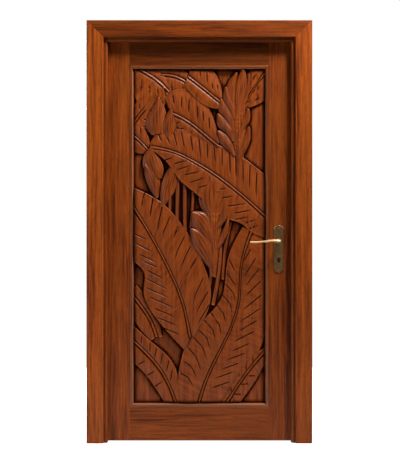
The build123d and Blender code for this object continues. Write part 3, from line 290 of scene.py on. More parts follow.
# Each leaf: midrib and both edges from stalk to tip, the heights of midrib and edges in mm, and
# the cuts across its blades
leaves = {
    "top_left": {
        "rib": [(136, 66), (148, 73), (158, 80), (168, 90)],
        "edges": [[(141, 62), (155, 68), (165, 76), (171, 89)],
                  [(130, 75), (138, 104), (150, 116), (166, 101)]],
        "heights": (12, 8, 7),
        "cuts": [[(148.5, 83), (150, 94)], [(157, 88), (158.5, 95)], [(164, 87), (166, 98)],
                 [(141, 78), (141, 92)]],
    },
    "top_middle": {
        "rib": [(188, 75), (200, 84), (210, 92), (221, 101)],
        "edges": [[(192, 62), (206, 64), (217, 74), (223, 98)],
                  [(184, 84), (196, 98), (209, 106), (219, 108)]],
        "heights": (14, 9, 12),
        "cuts": [[(200, 66), (200, 76)], [(207, 72), (207, 82)], [(212, 82), (213, 88)],
                 [(217.5, 84), (218, 88)]],
    },
    "upper": {
        "rib": [(171, 111.5), (188, 120.5), (203, 132), (219, 145.5)],
        "edges": [[(163, 92), (184, 87), (205, 101), (219, 135)],
                  [(171, 120), (186, 133), (200, 141), (217, 149)]],
        "heights": (15, 9, 8),
        "cuts": [[(172.5, 94), (173.7, 104)], [(181.5, 95), (181, 108)], [(189, 98), (188.3, 112)],
                 [(197, 105), (197.5, 119)], [(203, 111), (203.5, 122)], [(209, 117), (209.5, 129)],
                 [(175, 123), (179, 121)], [(178, 130), (184, 126)], [(188, 134), (193, 130)]],
    },
    "fan": {
        "rib": [(245, 103), (252, 92), (258, 82), (267, 70)],
        "edges": [[(243, 92), (246, 76), (253, 67), (266, 60)],
                  [(247, 107), (254, 105), (261, 102), (268, 97)]],
        "heights": (11, 9, 9),
        "cuts": [[(247, 88), (258, 70)], [(248, 95), (262, 84)], [(248, 101), (262, 96)],
                 [(246, 83), (252, 70)]],
    },
    "side": {
        "rib": [(133, 122), (140, 112), (146, 105), (151, 97)],
        "edges": [[(129, 110), (136, 100), (142, 94), (150, 94)],
                  [(137, 129), (146, 127), (151, 116), (153, 100)]],
        "heights": (9, 6, 6),
        "cuts": [[(138, 102), (139, 108)], [(144, 118), (148, 122)]],
    },
    "small": {
        "rib": [(130, 133), (137, 138), (142, 143), (147, 149)],
        "edges": [[(130, 118), (140, 124), (147, 134), (150, 145)],
                  [(130, 148), (136, 152), (142, 153), (147, 152)]],
        "heights": (11, 8, 6),
        "cuts": [[(140, 127), (140, 134)]],
    },
    "behind": {
        "rib": [(150, 74), (164, 73), (178, 76), (191, 84)],
        "edges": [[(154, 66), (167, 63), (182, 67), (194, 79)],
                  [(149, 82), (162, 87), (176, 92), (190, 94)]],
        "heights": (9, 7, 6),
        "cuts": [[(172, 90), (171, 82)], [(184, 92), (182, 84)]],
    },
    "back": {
        "rib": [(128, 292), (141, 308), (150, 322), (156, 338)],
        "edges": [[(136, 286), (148, 300), (157, 318), (162, 338)],
                  [(126, 306), (134, 322), (142, 334), (150, 342)]],
        "heights": (7, 5, 5),
        "cuts": [],
    },
    "great": {
        "rib": [(150, 146), (171, 150.5), (193, 160.5), (215, 174), (241, 194), (268, 218)],
        "edges": [[(149, 143), (158, 131), (180, 128), (206, 138), (236, 152), (268, 176)],
                  [(152, 150), (165, 160), (178, 178), (199, 196), (229, 219.5), (241, 223),
                   (250, 231), (268, 238.5)]],
        "heights": (20, 11, 19),
        "cuts": [
            [(158, 133), (161, 141.5)], [(165.5, 132), (170, 145)], [(173, 131), (177.5, 148)],
            [(181, 131), (184.5, 149)], [(190.5, 135), (193, 153)], [(199, 138), (200.5, 158)],
            [(207, 141), (207.8, 160)], [(214, 144), (215.5, 163)], [(222.3, 148), (222.3, 168)],
            [(230, 152), (230.3, 175)], [(236, 155), (236.3, 179)], [(243.5, 160), (243.5, 185)],
            [(250.5, 166), (249.5, 190)], [(257.5, 172), (256.5, 188), (257, 198)],
            [(163, 160), (172, 157)], [(175, 163), (187, 160)], [(178, 169), (190, 165)],
            [(185, 174.5), (200, 171)], [(191, 182), (205, 177)], [(200, 187), (210, 184)],
            [(210, 195), (220, 191)], [(221, 189), (226, 188)], [(222, 198), (233, 196)],
            [(229, 206), (247, 203.5)], [(236, 213), (252, 210)], [(236, 219.5), (250, 216.5)],
            [(245, 223), (258, 219.5)], [(249, 229), (260, 225)],
        ],
    },
    "left": {
        "rib": [(130, 202), (146, 228), (160, 253), (172, 277), (183, 305), (190, 338)],
        "edges": [[(108, 222), (124, 254), (144, 275), (143, 290), (153.5, 316), (184, 351)],
                  [(130, 186), (158, 200), (184, 228), (204, 266), (211, 296), (196, 336)]],
        "heights": (20, 18, 13),
        "cuts": [
            [(134, 234), (146, 240)], [(136, 244), (152, 252.5)], [(140, 255), (157, 263.5)],
            [(144, 262.5), (159, 268.5)], [(147, 271), (164, 280)], [(147, 280), (167, 290)],
            [(147, 289), (170, 299)], [(150, 298), (175, 309.5)], [(154, 309), (177, 319)],
            [(158, 319), (178, 327)], [(163, 329), (181, 336)],
            [(144.5, 192), (142, 199), (141, 208)], [(152.5, 198), (150.5, 210), (149.5, 219)],
            [(162, 206), (158, 223), (156.5, 234)], [(169.5, 217), (163, 232), (162.5, 240)],
            [(178, 227), (171, 243), (169.5, 252)], [(184, 237), (177, 251), (174, 263)],
            [(190, 247), (183, 262), (180, 272)], [(196, 259), (187, 275), (184, 288)],
            [(203, 279), (196, 294), (192.5, 305)], [(207.5, 293), (199, 308), (195, 317)],
            [(209, 306), (201, 319), (197, 327)],
        ],
    },
    "right": {
        "rib": [(252, 231.5), (241.5, 268), (239.5, 300), (226, 341), (205, 385), (197, 412)],
        "edges": [[(243, 227), (227.5, 262), (222, 298), (195, 330), (179, 370), (176, 412)],
                  [(270, 238.5), (270, 262), (269, 316), (258, 356), (234, 390), (222, 412)]],
        "heights": (17, 15, 9),
        "cuts": [
            [(230, 261), (236, 273)], [(227.5, 274), (237, 288)],
            [(226, 285), (234, 294), (235.5, 303)], [(223, 296), (230.5, 305), (232.5, 314)],
            [(217, 306), (224, 315), (226.5, 326)],
            [(211, 314), (219.5, 326), (222, 338)], [(204, 321), (213, 331), (216, 343)],
            [(198, 330), (207, 340), (211, 352)], [(194, 339), (203, 349), (207.5, 363)],
            [(188, 349), (196, 358), (201.5, 373)], [(184, 363), (191, 368), (197, 379)],
            [(181, 375), (188, 379), (193.5, 389)],
            [(251, 250), (243, 264)], [(256, 259), (244, 278)], [(259, 270), (245, 288)],
            [(261, 282), (245, 298)], [(262, 296), (242, 312)], [(260, 310), (240, 323)],
            [(257, 322), (238, 333)], [(254, 333), (232, 344)], [(249, 345), (231, 353)],
            [(244, 355), (226, 362)], [(238, 365), (221, 371)], [(232, 374), (215, 380)],
            [(228, 384), (211, 390)],
        ],
    },
    "low_left": {
        "rib": [(126, 336), (152, 361), (165, 379), (177, 409)],
        "edges": [[(126, 320), (152, 344), (171, 362), (179, 409)],
                  [(124, 358), (140, 371), (154, 389), (168, 411)]],
        "heights": (14, 12, 8),
        "cuts": [[(141, 338), (140.5, 346)], [(149.5, 345), (149, 354)], [(156, 350), (154, 360)],
                 [(162, 355), (160, 367)], [(168.5, 362), (166, 374)], [(172, 372), (170, 384)],
                 [(138, 366), (145, 362)], [(147, 377), (155, 372)], [(155, 388), (162, 383)]],
    },
    "low_right": {
        "rib": [(269, 349), (252, 368), (240, 384), (224, 410)],
        "edges": [[(264, 350), (247, 361), (236, 378), (216, 410)],
                  [(270, 356), (259, 378), (250, 392), (236, 411)]],
        "heights": (13, 9, 9),
        "cuts": [
            [(239.5, 370), (239.5, 379)], [(246.5, 363), (246.5, 373)],
            [(253.5, 358), (253.5, 365)], [(231, 386), (232, 395)],
            [(249, 377.5), (257, 377.5)], [(242, 386), (250, 385.5)], [(235, 396), (243, 396)],
        ],
    },
}


def run_along(line):
    """How far along a line each of its points lies, in squares."""
    return np.r_[0.0, np.cumsum(np.linalg.norm(np.diff(line, axis=0), axis=1))]


def length_of(line):
    """A line's length in metres."""
    return np.linalg.norm(np.diff(line, axis=0), axis=1).sum() * square


def smooth_line(points, shares):
    """A curve through the points, natural at its ends, at the given shares of its chord length."""
    points = np.array(points, float)
    knots = run_along(points)
    knots /= knots[-1]
    count = len(points)
    gaps = np.diff(knots)
    left, right = np.eye(count), np.zeros((count, 2))
    for i in range(1, count - 1):
        left[i, i - 1:i + 2] = gaps[i - 1], 2 * (gaps[i - 1] + gaps[i]), gaps[i]
        back, on = points[i] - points[i - 1], points[i + 1] - points[i]
        right[i] = 6 * (on / gaps[i] - back / gaps[i - 1])
    bends = np.linalg.solve(left, right)
    at = np.clip(np.searchsorted(knots, shares, side="right") - 1, 0, count - 2)
    gap = gaps[at][:, None]
    after = (shares - knots[at])[:, None] / gap
    before = 1 - after
    line = before * points[at] + after * points[at + 1]
    swing = (before ** 3 - before) * bends[at] + (after ** 3 - after) * bends[at + 1]
    return line + swing * gap ** 2 / 6


def smoothstep(value):
    """Eases a value from 0 to 1 in and out, and holds it there."""
    value = np.clip(value, 0, 1)
    return value * value * (3 - 2 * value)


def from_cut(spots, cut):
    """Each spot's distance from a cut's line, in metres, and how far along the cut it lies."""
    cut = np.array(cut, float)
    lengths = np.linalg.norm(np.diff(cut, axis=0), axis=1)
    starts = run_along(cut)
    nearest = np.full(spots.shape[:-1], 1e9)
    along = np.zeros_like(nearest)
    for i, (a, b) in enumerate(zip(cut, cut[1:])):
        run = b - a
        t = np.clip(((spots - a) @ run) / (run @ run), 0, 1)
        gap = np.linalg.norm(spots - a - t[..., None] * run, axis=-1)
        closer = gap < nearest
        nearest = np.where(closer, gap, nearest)
        along = np.where(closer, (starts[i] + t * lengths[i]) / starts[-1], along)
    return nearest * square, along


class Carving:
    """Collects closed forms, each made of rings of points from root over the top to root."""

    def __init__(self):
        self.points, self.faces, self.hollow, self.strands, self.tops = [], [], [], [], []
        self.count = 0

    def add_form(self, rings, hollow, strands):
        """rings: rows x points x 3; hollow: painted shade from 0 to 1; strands: across, along."""
        rows, size = rings.shape[:2]
        index = self.count + np.arange(rows * size).reshape(rows, size)
        turned = np.roll(index, -1, axis=1)
        quads = np.stack([index[:-1], turned[:-1], turned[1:], index[1:]], -1).reshape(-1, 4)
        self.faces += quads.tolist()
        self.faces += [index[0].tolist()[::-1], index[-1].tolist()]
        self.points.append(rings.reshape(-1, 3))
        self.hollow.append(hollow.reshape(-1))
        self.strands.append(strands.reshape(-1, 2))
        self.count += rows * size


carving = Carving()


def on_board(spots, heights):
    """3-D points from squares of the drawing and heights above the ground in metres."""
    x = (spots[..., 0] - middle_column) * square
    z = field_foot + (foot_row - spots[..., 1]) * square
    return np.stack([x, ground_y - heights, z], -1)


def with_roots(spots, heights, hollow, strands):
    """Closes rows of top points with walls that lean in and end inside the board."""
    top = on_board(spots, heights)
    inward = np.stack([spots[:, 1] - spots[:, 0], spots[:, -2] - spots[:, -1]], 1)
    reach = np.linalg.norm(inward, axis=-1, keepdims=True) + 1e-9
    width = np.linalg.norm(spots[:, 0] - spots[:, -1], axis=-1)[:, None, None]
    step = np.minimum(undercut / square, undercut_share * width)
    feet = np.stack([spots[:, 0], spots[:, -1]], 1) + inward / reach * step
    feet = on_board(feet, np.full(feet.shape[:2], -root_depth))
    rings = np.concatenate([feet[:, :1], top, feet[:, 1:]], 1)
    carving.tops.append(top)
    # The walls under a form's edges get full painted shade.
    edge = np.ones((len(top), 1))
    hollow = np.concatenate([edge, hollow, edge], 1)
    strands = np.concatenate([strands[:, :1], strands, strands[:, -1:]], 1)
    carving.add_form(rings, hollow, strands)


def meeting(line, spot, heading):
    """The share of a line's length where a ray from the spot comes nearest to it."""
    tried = np.linspace(-6, 45, 103)[:, None]       # squares along the ray
    gaps = np.linalg.norm(line[None] - (spot + tried[..., None] * heading), axis=-1)
    gaps += 0.02 * np.abs(tried)                    # of like gaps, the first one counts
    return np.unravel_index(np.argmin(gaps), gaps.shape)[1] / (len(line) - 1)


def on_side(cut, rib, edge):
    """Whether a cut lies between the midrib and this edge, and not across the midrib."""
    spot = (np.array(cut[0], float) + np.array(cut[-1], float)) / 2
    at = np.argmin(np.linalg.norm(rib - spot, axis=1))
    along = rib[min(at + 1, len(rib) - 1)] - rib[max(at - 1, 0)]
    to_cut, to_edge = spot - rib[at], edge[at] - rib[at]
    turn = along[0] * to_cut[1] - along[1] * to_cut[0]
    return turn * (along[0] * to_edge[1] - along[1] * to_edge[0]) > 0


def vein_pairs(rib, edge, cuts, least=0.3):
    """Where each vein leaves the midrib and meets the edge, as shares of their lengths.

    Between veins the midrib's share grows by at least a part of the edge's, also at the tip.
    """
    pairs = [(0.0, 0.0), (1.0, 1.0)]
    for cut in cuts:
        outer, inner = np.array(cut[0], float), np.array(cut[-1], float)
        heading = (inner - outer) / np.linalg.norm(inner - outer)
        pairs.append((meeting(rib, inner, heading), meeting(edge, outer, -heading)))
    starts, ends = np.array(sorted(pairs)).T
    ends = np.maximum.accumulate(ends)
    for i in range(len(starts) - 2, 0, -1):
        starts[i] = min(starts[i], starts[i + 1] - least * (ends[i + 1] - ends[i]))
    for i in range(1, len(starts) - 1):
        starts[i] = max(starts[i], starts[i - 1] + least * (ends[i] - ends[i - 1]))
    return starts, ends


def leaf_columns(width, count, whole=0.040):
    """Distances from the midrib of a row's points: close by midrib and edge, wide between."""
    share = np.minimum(width / whole, 1)[:, None]
    near, far = rib_side * share, width[:, None] - edge_side * share
    steps = np.linspace(0, 1, count + 2)[None, 1:-1]
    return np.concatenate([near, near[:, -1:] * (1 - steps) + far[:, :1] * steps, far], 1)


def thinned(shares, run, gap):
    """Shares of a length, less those that lie closer than a gap to the one before."""
    order = np.argsort(run)
    shares, run = shares[order], run[order]
    kept = [0]
    for i in range(1, len(run)):
        if run[i] - run[kept[-1]] >= gap:
            kept.append(i)
    return shares[kept]


def leaf_rows(rib, edges, veins, row_step):
    """Shares of the midrib where rows start: a few across each cut, and even ones between."""
    length = length_of(rib)
    at_veins = [np.array([0.0, 1.0])]
    at_veins += [at + vein_rows / length for starts, ends in veins for at in starts[1:-1]]
    at_even = [np.linspace(0, 1, int(length / row_step))]
    for edge, (starts, ends) in zip(edges, veins):
        steps = np.linspace(0, 1, int(length_of(edge) / row_step))
        at_even.append(np.interp(steps, ends, starts))
    at_veins, at_even = [np.clip(np.concatenate(group), 0, 1) for group in (at_veins, at_even)]

    def run(at):
        return (at + sum(np.interp(at, *pair) for pair in veins)) * length / 2

    gaps = np.abs(run(at_even)[:, None] - run(at_veins)).min(axis=1)
    at_even = at_even[gaps > row_clear]
    at_veins = thinned(at_veins, run(at_veins), row_least)
    at_even = thinned(at_even, run(at_even), row_even)
    shares = np.concatenate([at_veins, at_even])
    return np.unique(np.r_[0, shares[(shares > 0) & (shares < 1)], 1])


def carve_leaf(form, row_step=0.0080, column_step=0.0125):
    """A leaf: a midrib between grooves, two blades with cuts, rims and rolled edges."""
    rib_h, *edge_h = [h / 1000 for h in form["heights"]]
    even = np.linspace(0, 1, line_steps)
    rib = smooth_line(form["rib"], even)
    edges = [smooth_line(edge, even) for edge in form["edges"]]
    cuts = [[cut for cut in form["cuts"] if on_side(cut, rib, edge)] for edge in edges]
    veins = [vein_pairs(rib, edge, mine) for edge, mine in zip(edges, cuts)]
    shares = leaf_rows(rib, edges, veins, row_step)
    rib = smooth_line(form["rib"], shares)
    halves = []
    for side in (0, 1):
        edge = smooth_line(form["edges"][side], np.interp(shares, *veins[side]))
        width = np.linalg.norm(edge - rib, axis=1) * square
        columns = max(2, int((width.max() - rib_side[-1] - edge_side[0]) / column_step))
        from_rib = leaf_columns(width, columns)
        across = from_rib / np.maximum(width, 1e-6)[:, None]
        spots = rib[:, None] + (edge - rib)[:, None] * across[..., None]
        from_edge = width[:, None] - from_rib
        room = smoothstep(width / full_width)[:, None]
        top = rib_h + (edge_h[side] - rib_h) * across + belly * np.sin(pi * across) * room
        top += rib_rise * np.exp(-(from_rib / rib_w) ** 2) * (thin_rib + (1 - thin_rib) * room)
        groove = np.exp(-((from_rib - groove_at) / groove_w) ** 2) * room
        top -= groove_depth * groove
        top += rim_rise * np.exp(-((from_edge - rim_in) / rim_w) ** 2) * room
        top -= roll_drop * (1 - smoothstep(from_edge / roll_w)) * room
        # Painted shade in the grooves beside the midrib and in the cuts.
        painted_shading = groove_shade * groove
        for cut in cuts[side]:
            gap, along = from_cut(spots, cut)
            fade = smoothstep((1 - along) / cut_fade) * (1 - cut_end) + cut_end
            slot = np.exp(-(gap / cut_w) ** 2) * fade
            top += (pleat_rise * np.exp(-(gap / pleat_w) ** 2) - cut_depth * slot) * room
            painted_shading = np.maximum(painted_shading, slot)
        rib_run, edge_run = run_along(rib)[:, None], run_along(edge)[:, None]
        along_blade = (rib_run * (1 - across) + edge_run * across) * square
        strands = np.stack([along_blade, from_rib * (1 - 2 * side)], -1)
        halves.append((spots, top, painted_shading, strands))
    spots, top, painted_shading, strands = [
        np.concatenate([a[:, :0:-1], b], 1) for a, b in zip(*halves)
    ]
    heights = np.clip(top, lowest, highest)
    with_roots(spots, heights, painted_shading, strands)


for form in leaves.values():
    carve_leaf(form)


# Each bract: left and right edges from tip to root, then heights of crest and edge in mm
bracts = {
    "upper_flower": [
        ([(235, 96), (233, 118), (233, 140), (237, 163)],
         [(246, 96), (247, 118), (246, 140), (243, 164)], 22, 12),
        ([(242, 68), (237, 80), (235, 95), (236, 112)],
         [(245, 68), (248, 80), (246, 95), (244, 112)], 24, 14),
        ([(236, 71), (228, 82), (227, 93), (231, 106)],
         [(238, 71), (237, 84), (237, 95), (238, 106)], 22, 12),
        ([(225, 86), (223, 97), (227, 108), (232, 118)],
         [(227, 85), (233, 96), (237, 108), (237, 118)], 23, 12),
        ([(220, 98), (219, 110), (225, 119), (231, 130)],
         [(222, 97), (230, 107), (235, 118), (236, 130)], 23.5, 12),
        ([(217, 113), (218, 125), (224, 131), (231, 141)],
         [(219, 112), (228, 119), (234, 128), (236, 140)], 24, 12),
        ([(217, 131), (220, 142), (226, 148), (233, 156)],
         [(219, 129), (228, 134), (233, 142), (237, 154)], 23, 11),
        ([(248, 71), (247, 84), (243, 97), (239, 108)],
         [(251, 73), (251, 85), (248, 98), (243, 110)], 21, 12),
        ([(247, 106), (243, 117), (239, 126), (237, 136)],
         [(250, 108), (250.5, 118), (246, 127), (241, 138)], 25, 13),
        ([(248, 125), (244, 136), (240, 146), (237, 156)],
         [(250.5, 126), (251, 137), (247, 149), (241, 160)], 24.5, 12),
    ],
    "bud": [
        ([(157, 96), (151, 108), (148, 120), (150, 133)],
         [(159, 95), (164, 106), (167, 118), (168, 132)], 22, 10),
        ([(170, 108), (163, 117), (161, 127), (164, 136)],
         [(172, 107), (175, 117), (176, 128), (172, 137)], 23, 11),
        ([(149, 110), (145, 120), (146, 128), (151, 134)],
         [(151, 110), (155, 120), (157, 128), (157, 134)], 18, 8),
    ],
    "spike": [
        ([(149, 146), (142.5, 157), (143, 167), (155, 177)],
         [(152, 146), (159, 157), (163, 168), (161, 178)], 25, 12),
        ([(143, 165), (145, 178), (150, 190), (155, 198)],
         [(145, 163), (156, 171), (159.5, 181), (158, 197)], 23, 11),
        ([(170, 165), (163, 178), (160, 192), (160, 206)],
         [(174, 165), (177, 178), (173, 193), (163, 207)], 22, 12),
    ],
    "great_flower": [
        ([(205, 208), (208, 228), (208, 250), (210, 276)],
         [(224, 208), (221, 228), (219, 250), (216, 278)], 22, 13),
        ([(209, 176), (202, 187), (199, 200), (205, 214)],
         [(212, 175), (221, 185), (224.5, 198), (223, 214)], 26, 12),
        ([(191, 213), (191, 224), (198, 235), (211, 245)],
         [(193, 211), (207, 213), (215, 226), (217, 243)], 25, 11),
        ([(190, 230), (191, 244), (199, 257), (209, 268)],
         [(192, 228), (207, 232), (215, 246), (217, 264)], 25.5, 11),
        ([(224, 200), (222, 210), (218, 220), (213, 228)],
         [(227, 199), (230, 210), (226, 221), (216, 232)], 25.5, 13),
        ([(227, 218), (223, 230), (218, 240), (213, 250)],
         [(230, 218), (228.5, 232), (223, 244), (216, 254)], 24.5, 12),
    ],
}

flute_count, flute_depth, flute_shade = 6, 0.0017, 0.45
flute_light, flute_swing = 0.65, 0.35       # flutes deepen and fade along a bract
bract_rim_in, bract_rim_w, bract_rim_rise = 0.0030, 0.0020, 0.0012
root_from, root_drop = 0.6, 0.0040          # a bract sinks towards its root


def carve_bract(left, right, crest, edge, rows=34, columns=31):
    """A bract: a domed scale, fluted lengthwise, that dips under the one before it."""
    shares = np.linspace(0, 1, rows)
    a, b = smooth_line(left, shares), smooth_line(right, shares)
    across, down = np.linspace(0, 1, columns)[None], shares[:, None]
    spots = a[:, None] + (b - a)[:, None] * across[..., None]
    width = np.linalg.norm(b - a, axis=1)[:, None] * square
    room = smoothstep(width / full_width)
    heights = (edge + (crest - edge) * np.sin(pi * across) ** 0.8) / 1000
    flutes = (0.5 - 0.5 * np.cos(2 * pi * flute_count * (across - 0.5))) ** 2 * room
    flutes = flutes * (flute_light + flute_swing * np.sin(9 * down + 7 * across))
    heights = heights - flute_depth * flutes
    from_rim = width * np.minimum(across, 1 - across) - bract_rim_in
    heights = heights + bract_rim_rise * np.exp(-(from_rim / bract_rim_w) ** 2) * room
    heights -= root_drop * smoothstep((down - root_from) / (1 - root_from))
    heights = np.minimum(heights, highest)
    along = down * length_of(a)
    strands = np.stack(np.broadcast_arrays(width * across, along), -1)
    # Painted shade in the flutes.
    with_roots(spots, heights, flute_shade * flutes, strands)


for group in bracts.values():
    for form in group:
        carve_bract(*form)


# Each stalk: its middle line, half its width in squares, and its height in mm
stalks = [
    ([(169.5, 192), (169.5, 204), (169, 217)], 1.6, 13),
    ([(177.5, 170), (177, 198), (176.5, 230)], 2.0, 14),
    ([(184.5, 182), (184.5, 210), (185, 246)], 2.0, 14),
    ([(193, 190), (192.5, 204), (191, 226)], 1.6, 13),
    ([(191, 226), (190, 240), (192, 262)], 1.6, 11),
    ([(220, 226), (220, 262), (213, 306)], 2.0, 11),
    ([(212, 262), (211, 278), (206, 300)], 1.8, 11),
    ([(231, 222), (226, 246), (223, 280)], 1.6, 10),
]


def carve_stalk(line, half, height, rows=40, columns=9):
    """A stalk: a round rod along its line, with painted shade down both sides."""
    flatness, side_shade, strand_length = 0.72, 0.5, 0.2
    shares = np.linspace(0, 1, rows)
    spine = smooth_line(line, shares)
    run = np.gradient(spine, axis=0)
    side = np.stack([-run[:, 1], run[:, 0]], -1) / np.linalg.norm(run, axis=1)[:, None]
    across = np.linspace(-1, 1, columns)
    spots = spine[:, None] + side[:, None] * (half * across)[None, :, None]
    rows_of = np.zeros((rows, 1))
    heights = height / 1000 * np.sqrt(1 - flatness * across ** 2) + rows_of
    painted_shading = side_shade * np.abs(across) ** 3 + rows_of
    along = shares[:, None] * strand_length
    strands = np.stack(np.broadcast_arrays(half * square * across[None], along), -1)
    with_roots(spots, heights, painted_shading, strands)


for form in stalks:
    carve_stalk(*form)


def carve_board(columns=72, rows=176):
    """The board behind the carving, its front cut to the ground."""
    x = np.linspace(-board_half_w, board_half_w, columns)
    x = np.r_[x[0], x, x[-1]]
    y = np.r_[board_back_y, np.full(columns, ground_y), board_back_y]
    z = np.linspace(board_foot, board_top, rows)[:, None]
    rings = np.stack(np.broadcast_arrays(x, y, z), -1)
    carving.add_form(rings, np.zeros(rings.shape[:2]), rings[..., [0, 2]])


forms_end = carving.count
carve_board()


def blurred(grid, reach):
    """A grid smoothed by a bell-shaped window, whose reach is counted in cells."""
    span = np.arange(-3 * reach, 3 * reach + 1)
    bell = np.exp(-(span / reach) ** 2)
    bell /= bell.sum()
    for axis in (0, 1):
        grid = np.apply_along_axis(lambda line: np.convolve(line, bell, "same"), axis, grid)
    return grid


bead_shade_reach, bead_shade_depth = 0.022, 0.8       # painted shade beside the beads, where their shadow falls


def hollowness(cell=0.004):
    """How far each point lies below (to 1) or above (to -1) the work around it."""
    shape = (int(2 * board_half_w / cell) + 1, int((board_top - board_foot) / cell) + 1)
    relief = np.zeros(shape)

    def cells(points):
        columns = np.clip((points[..., 0] + board_half_w) / cell, 0, shape[0] - 1).astype(int)
        rows = np.clip((points[..., 2] - board_foot) / cell, 0, shape[1] - 1).astype(int)
        return columns, rows

    for rings in carving.tops:
        total, count = np.zeros(shape), np.zeros(shape)
        for share in np.linspace(0, 1, 4, endpoint=False):
            for rows in (rings[:-1], (rings[:-1] + rings[1:]) / 2):
                between = rows[:, :-1] * (1 - share) + rows[:, 1:] * share
                np.add.at(total, cells(between), ground_y - between[..., 1])
                np.add.at(count, cells(between), 1)
        relief = np.maximum(relief, total / np.maximum(count, 1))
    points = np.concatenate(carving.points)
    own = ground_y - points[:, 1]
    # Reach in cells, weight and full depth; only the nearest can show a point as proud, for painted
    # highlight
    close, near, wide = [
        weight * (blurred(relief, reach)[cells(points)] - own) / depth
        for reach, weight, depth in ((1, 0.5, 0.004), (2, 0.55, 0.006), (5, 0.55, 0.008))
    ]
    hollow = close + np.maximum(near + wide, 0)
    to_side = field_half_w - np.abs(points[:, 0])
    to_end = np.minimum(points[:, 2] - field_foot, field_top - points[:, 2])
    # Painted shade along the beads, where their shadow falls on the panel.
    corner = 1 - smoothstep(np.minimum(to_side, to_end) / bead_shade_reach)
    hollow = np.clip(hollow - 0.02 + bead_shade_depth * corner, -1, 1)
    return np.where(points[:, 1] > (ground_y + board_back_y) / 2, 0, hollow)


panel_mesh = bpy.data.meshes.new("carved_foliage_panel")
panel_mesh.from_pydata(np.concatenate(carving.points).tolist(), [], carving.faces)
panel_mesh.update()
# Painted shade above zero and painted highlight below zero, for each point of the carving.
form_shading, depth_shading = np.concatenate(carving.hollow), hollowness()
painted_shading = np.where(form_shading > 0.1, np.maximum(form_shading, depth_shading), depth_shading)
panel_mesh.attributes.new("painted_shading", "FLOAT", "POINT").data.foreach_set("value", painted_shading)
strands = np.concatenate(carving.strands)
strands = np.c_[strands, np.zeros(len(strands))].ravel()
panel_mesh.attributes.new("strands", "FLOAT_VECTOR", "POINT").data.foreach_set("vector", strands)


def trim(mesh, whole, sides):
    """Cuts closed forms off at some planes and closes the cuts; points from whole on stay."""
    work = bmesh.new()
    work.from_mesh(mesh)
    work.verts.ensure_lookup_table()
    kept = set(work.verts[whole:])
    for place, outward in sides:
        parts = [vert for vert in work.verts if vert not in kept]
        parts += [part for part in work.edges[:] + work.faces[:] if part.verts[0] not in kept]
        cut = bmesh.ops.bisect_plane(
            work, geom=parts, dist=1e-6, plane_co=place, plane_no=outward, clear_outer=True
        )
        edges = [part for part in cut["geom_cut"] if isinstance(part, bmesh.types.BMEdge)]
        bmesh.ops.holes_fill(work, edges=[edge for edge in edges if edge.is_boundary])
    bmesh.ops.recalc_face_normals(work, faces=work.faces)
    work.to_mesh(mesh)
    work.free()


trim(panel_mesh, forms_end, [
    ((field_half_w, 0, 0), (1, 0, 0)), ((-field_half_w, 0, 0), (-1, 0, 0)),
    ((0, 0, field_top), (0, 0, 1)), ((0, 0, field_foot + 0.0005), (0, 0, -1)),
])
panel_mesh.shade_smooth()
panel_mesh.set_sharp_from_angle(angle=radians(55))


def new_object(name, data):
    """An object in the scene."""
    made = bpy.data.objects.new(name, data)
    bpy.context.scene.collection.objects.link(made)
    return made


panel = new_object("carved_foliage_panel", panel_mesh)


def carved_wood():
    """The board's own grain, fine tool strokes along each blade, painted shade in the hollows and
    painted highlight on the crests.
    """
    material, tree, shader, place = new_material("carved_wood")
    streaks = add(tree, "ShaderNodeGroup", place, node_tree=grain).outputs["Streaks"]
    blade = add(tree, "ShaderNodeAttribute", attribute_name="strands").outputs["Vector"]
    fine = stretched_noise(tree, blade, (150.0, 12.0, 1.0), 2.0)
    wide = stretched_noise(tree, blade, (55.0, 6.0, 1.0), 1.0)
    stroke = remap(tree, weighted(tree, (fine, 0.45), (wide, 0.55)), 0.38, 0.62)
    colour = mixed(tree, streaks, (0.085, 0.0125, 0.0013), (0.215, 0.0410, 0.0045))
    colour = mixed(tree, remap(tree, stroke, 0.0, 1.0, 0.0, 0.45), colour, (0.300, 0.0700, 0.0090))
    # Proud points get painted highlight, hollow ones painted shade nearly to black.
    hollow = add(tree, "ShaderNodeAttribute", attribute_name="painted_shading").outputs["Fac"]
    painted_highlight = remap(tree, hollow, -0.12, -0.8, 0.0, 0.60)
    colour = mixed(tree, painted_highlight, colour, (0.480, 0.1300, 0.0190))
    dark = remap(tree, hollow, 0.02, 0.70, 0.0, 0.97)
    height = weighted(tree, (stroke, 0.8), (streaks, 0.2))
    feed(tree, shader, {
        "Base Color": mixed(tree, dark, colour, (0.012, 0.0020, 0.0006)),
        "Roughness": remap(tree, dark, 0.0, 0.8, 0.40, 0.75),
        "Specular IOR Level": remap(tree, dark, 0.0, 0.8, 0.20, 0.02),
        "Coat Weight": remap(tree, dark, 0.0, 0.5, 0.14, 0.0),
        "Coat Roughness": 0.25,
        "Normal": raised(tree, height, 0.7, 0.00018),
    })
    return material


panel_mesh.materials.append(carved_wood())
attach(panel, "leaf")
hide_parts("carved_panel")


# ---- Handles, plates and hinges ----
# Cast and pressed brass, darkened with age and bare in clouds; the plates get painted highlight
# along their long edges and painted shade round their keyholes. Screwed to the stile and let
# into the wood of leaf and lining.

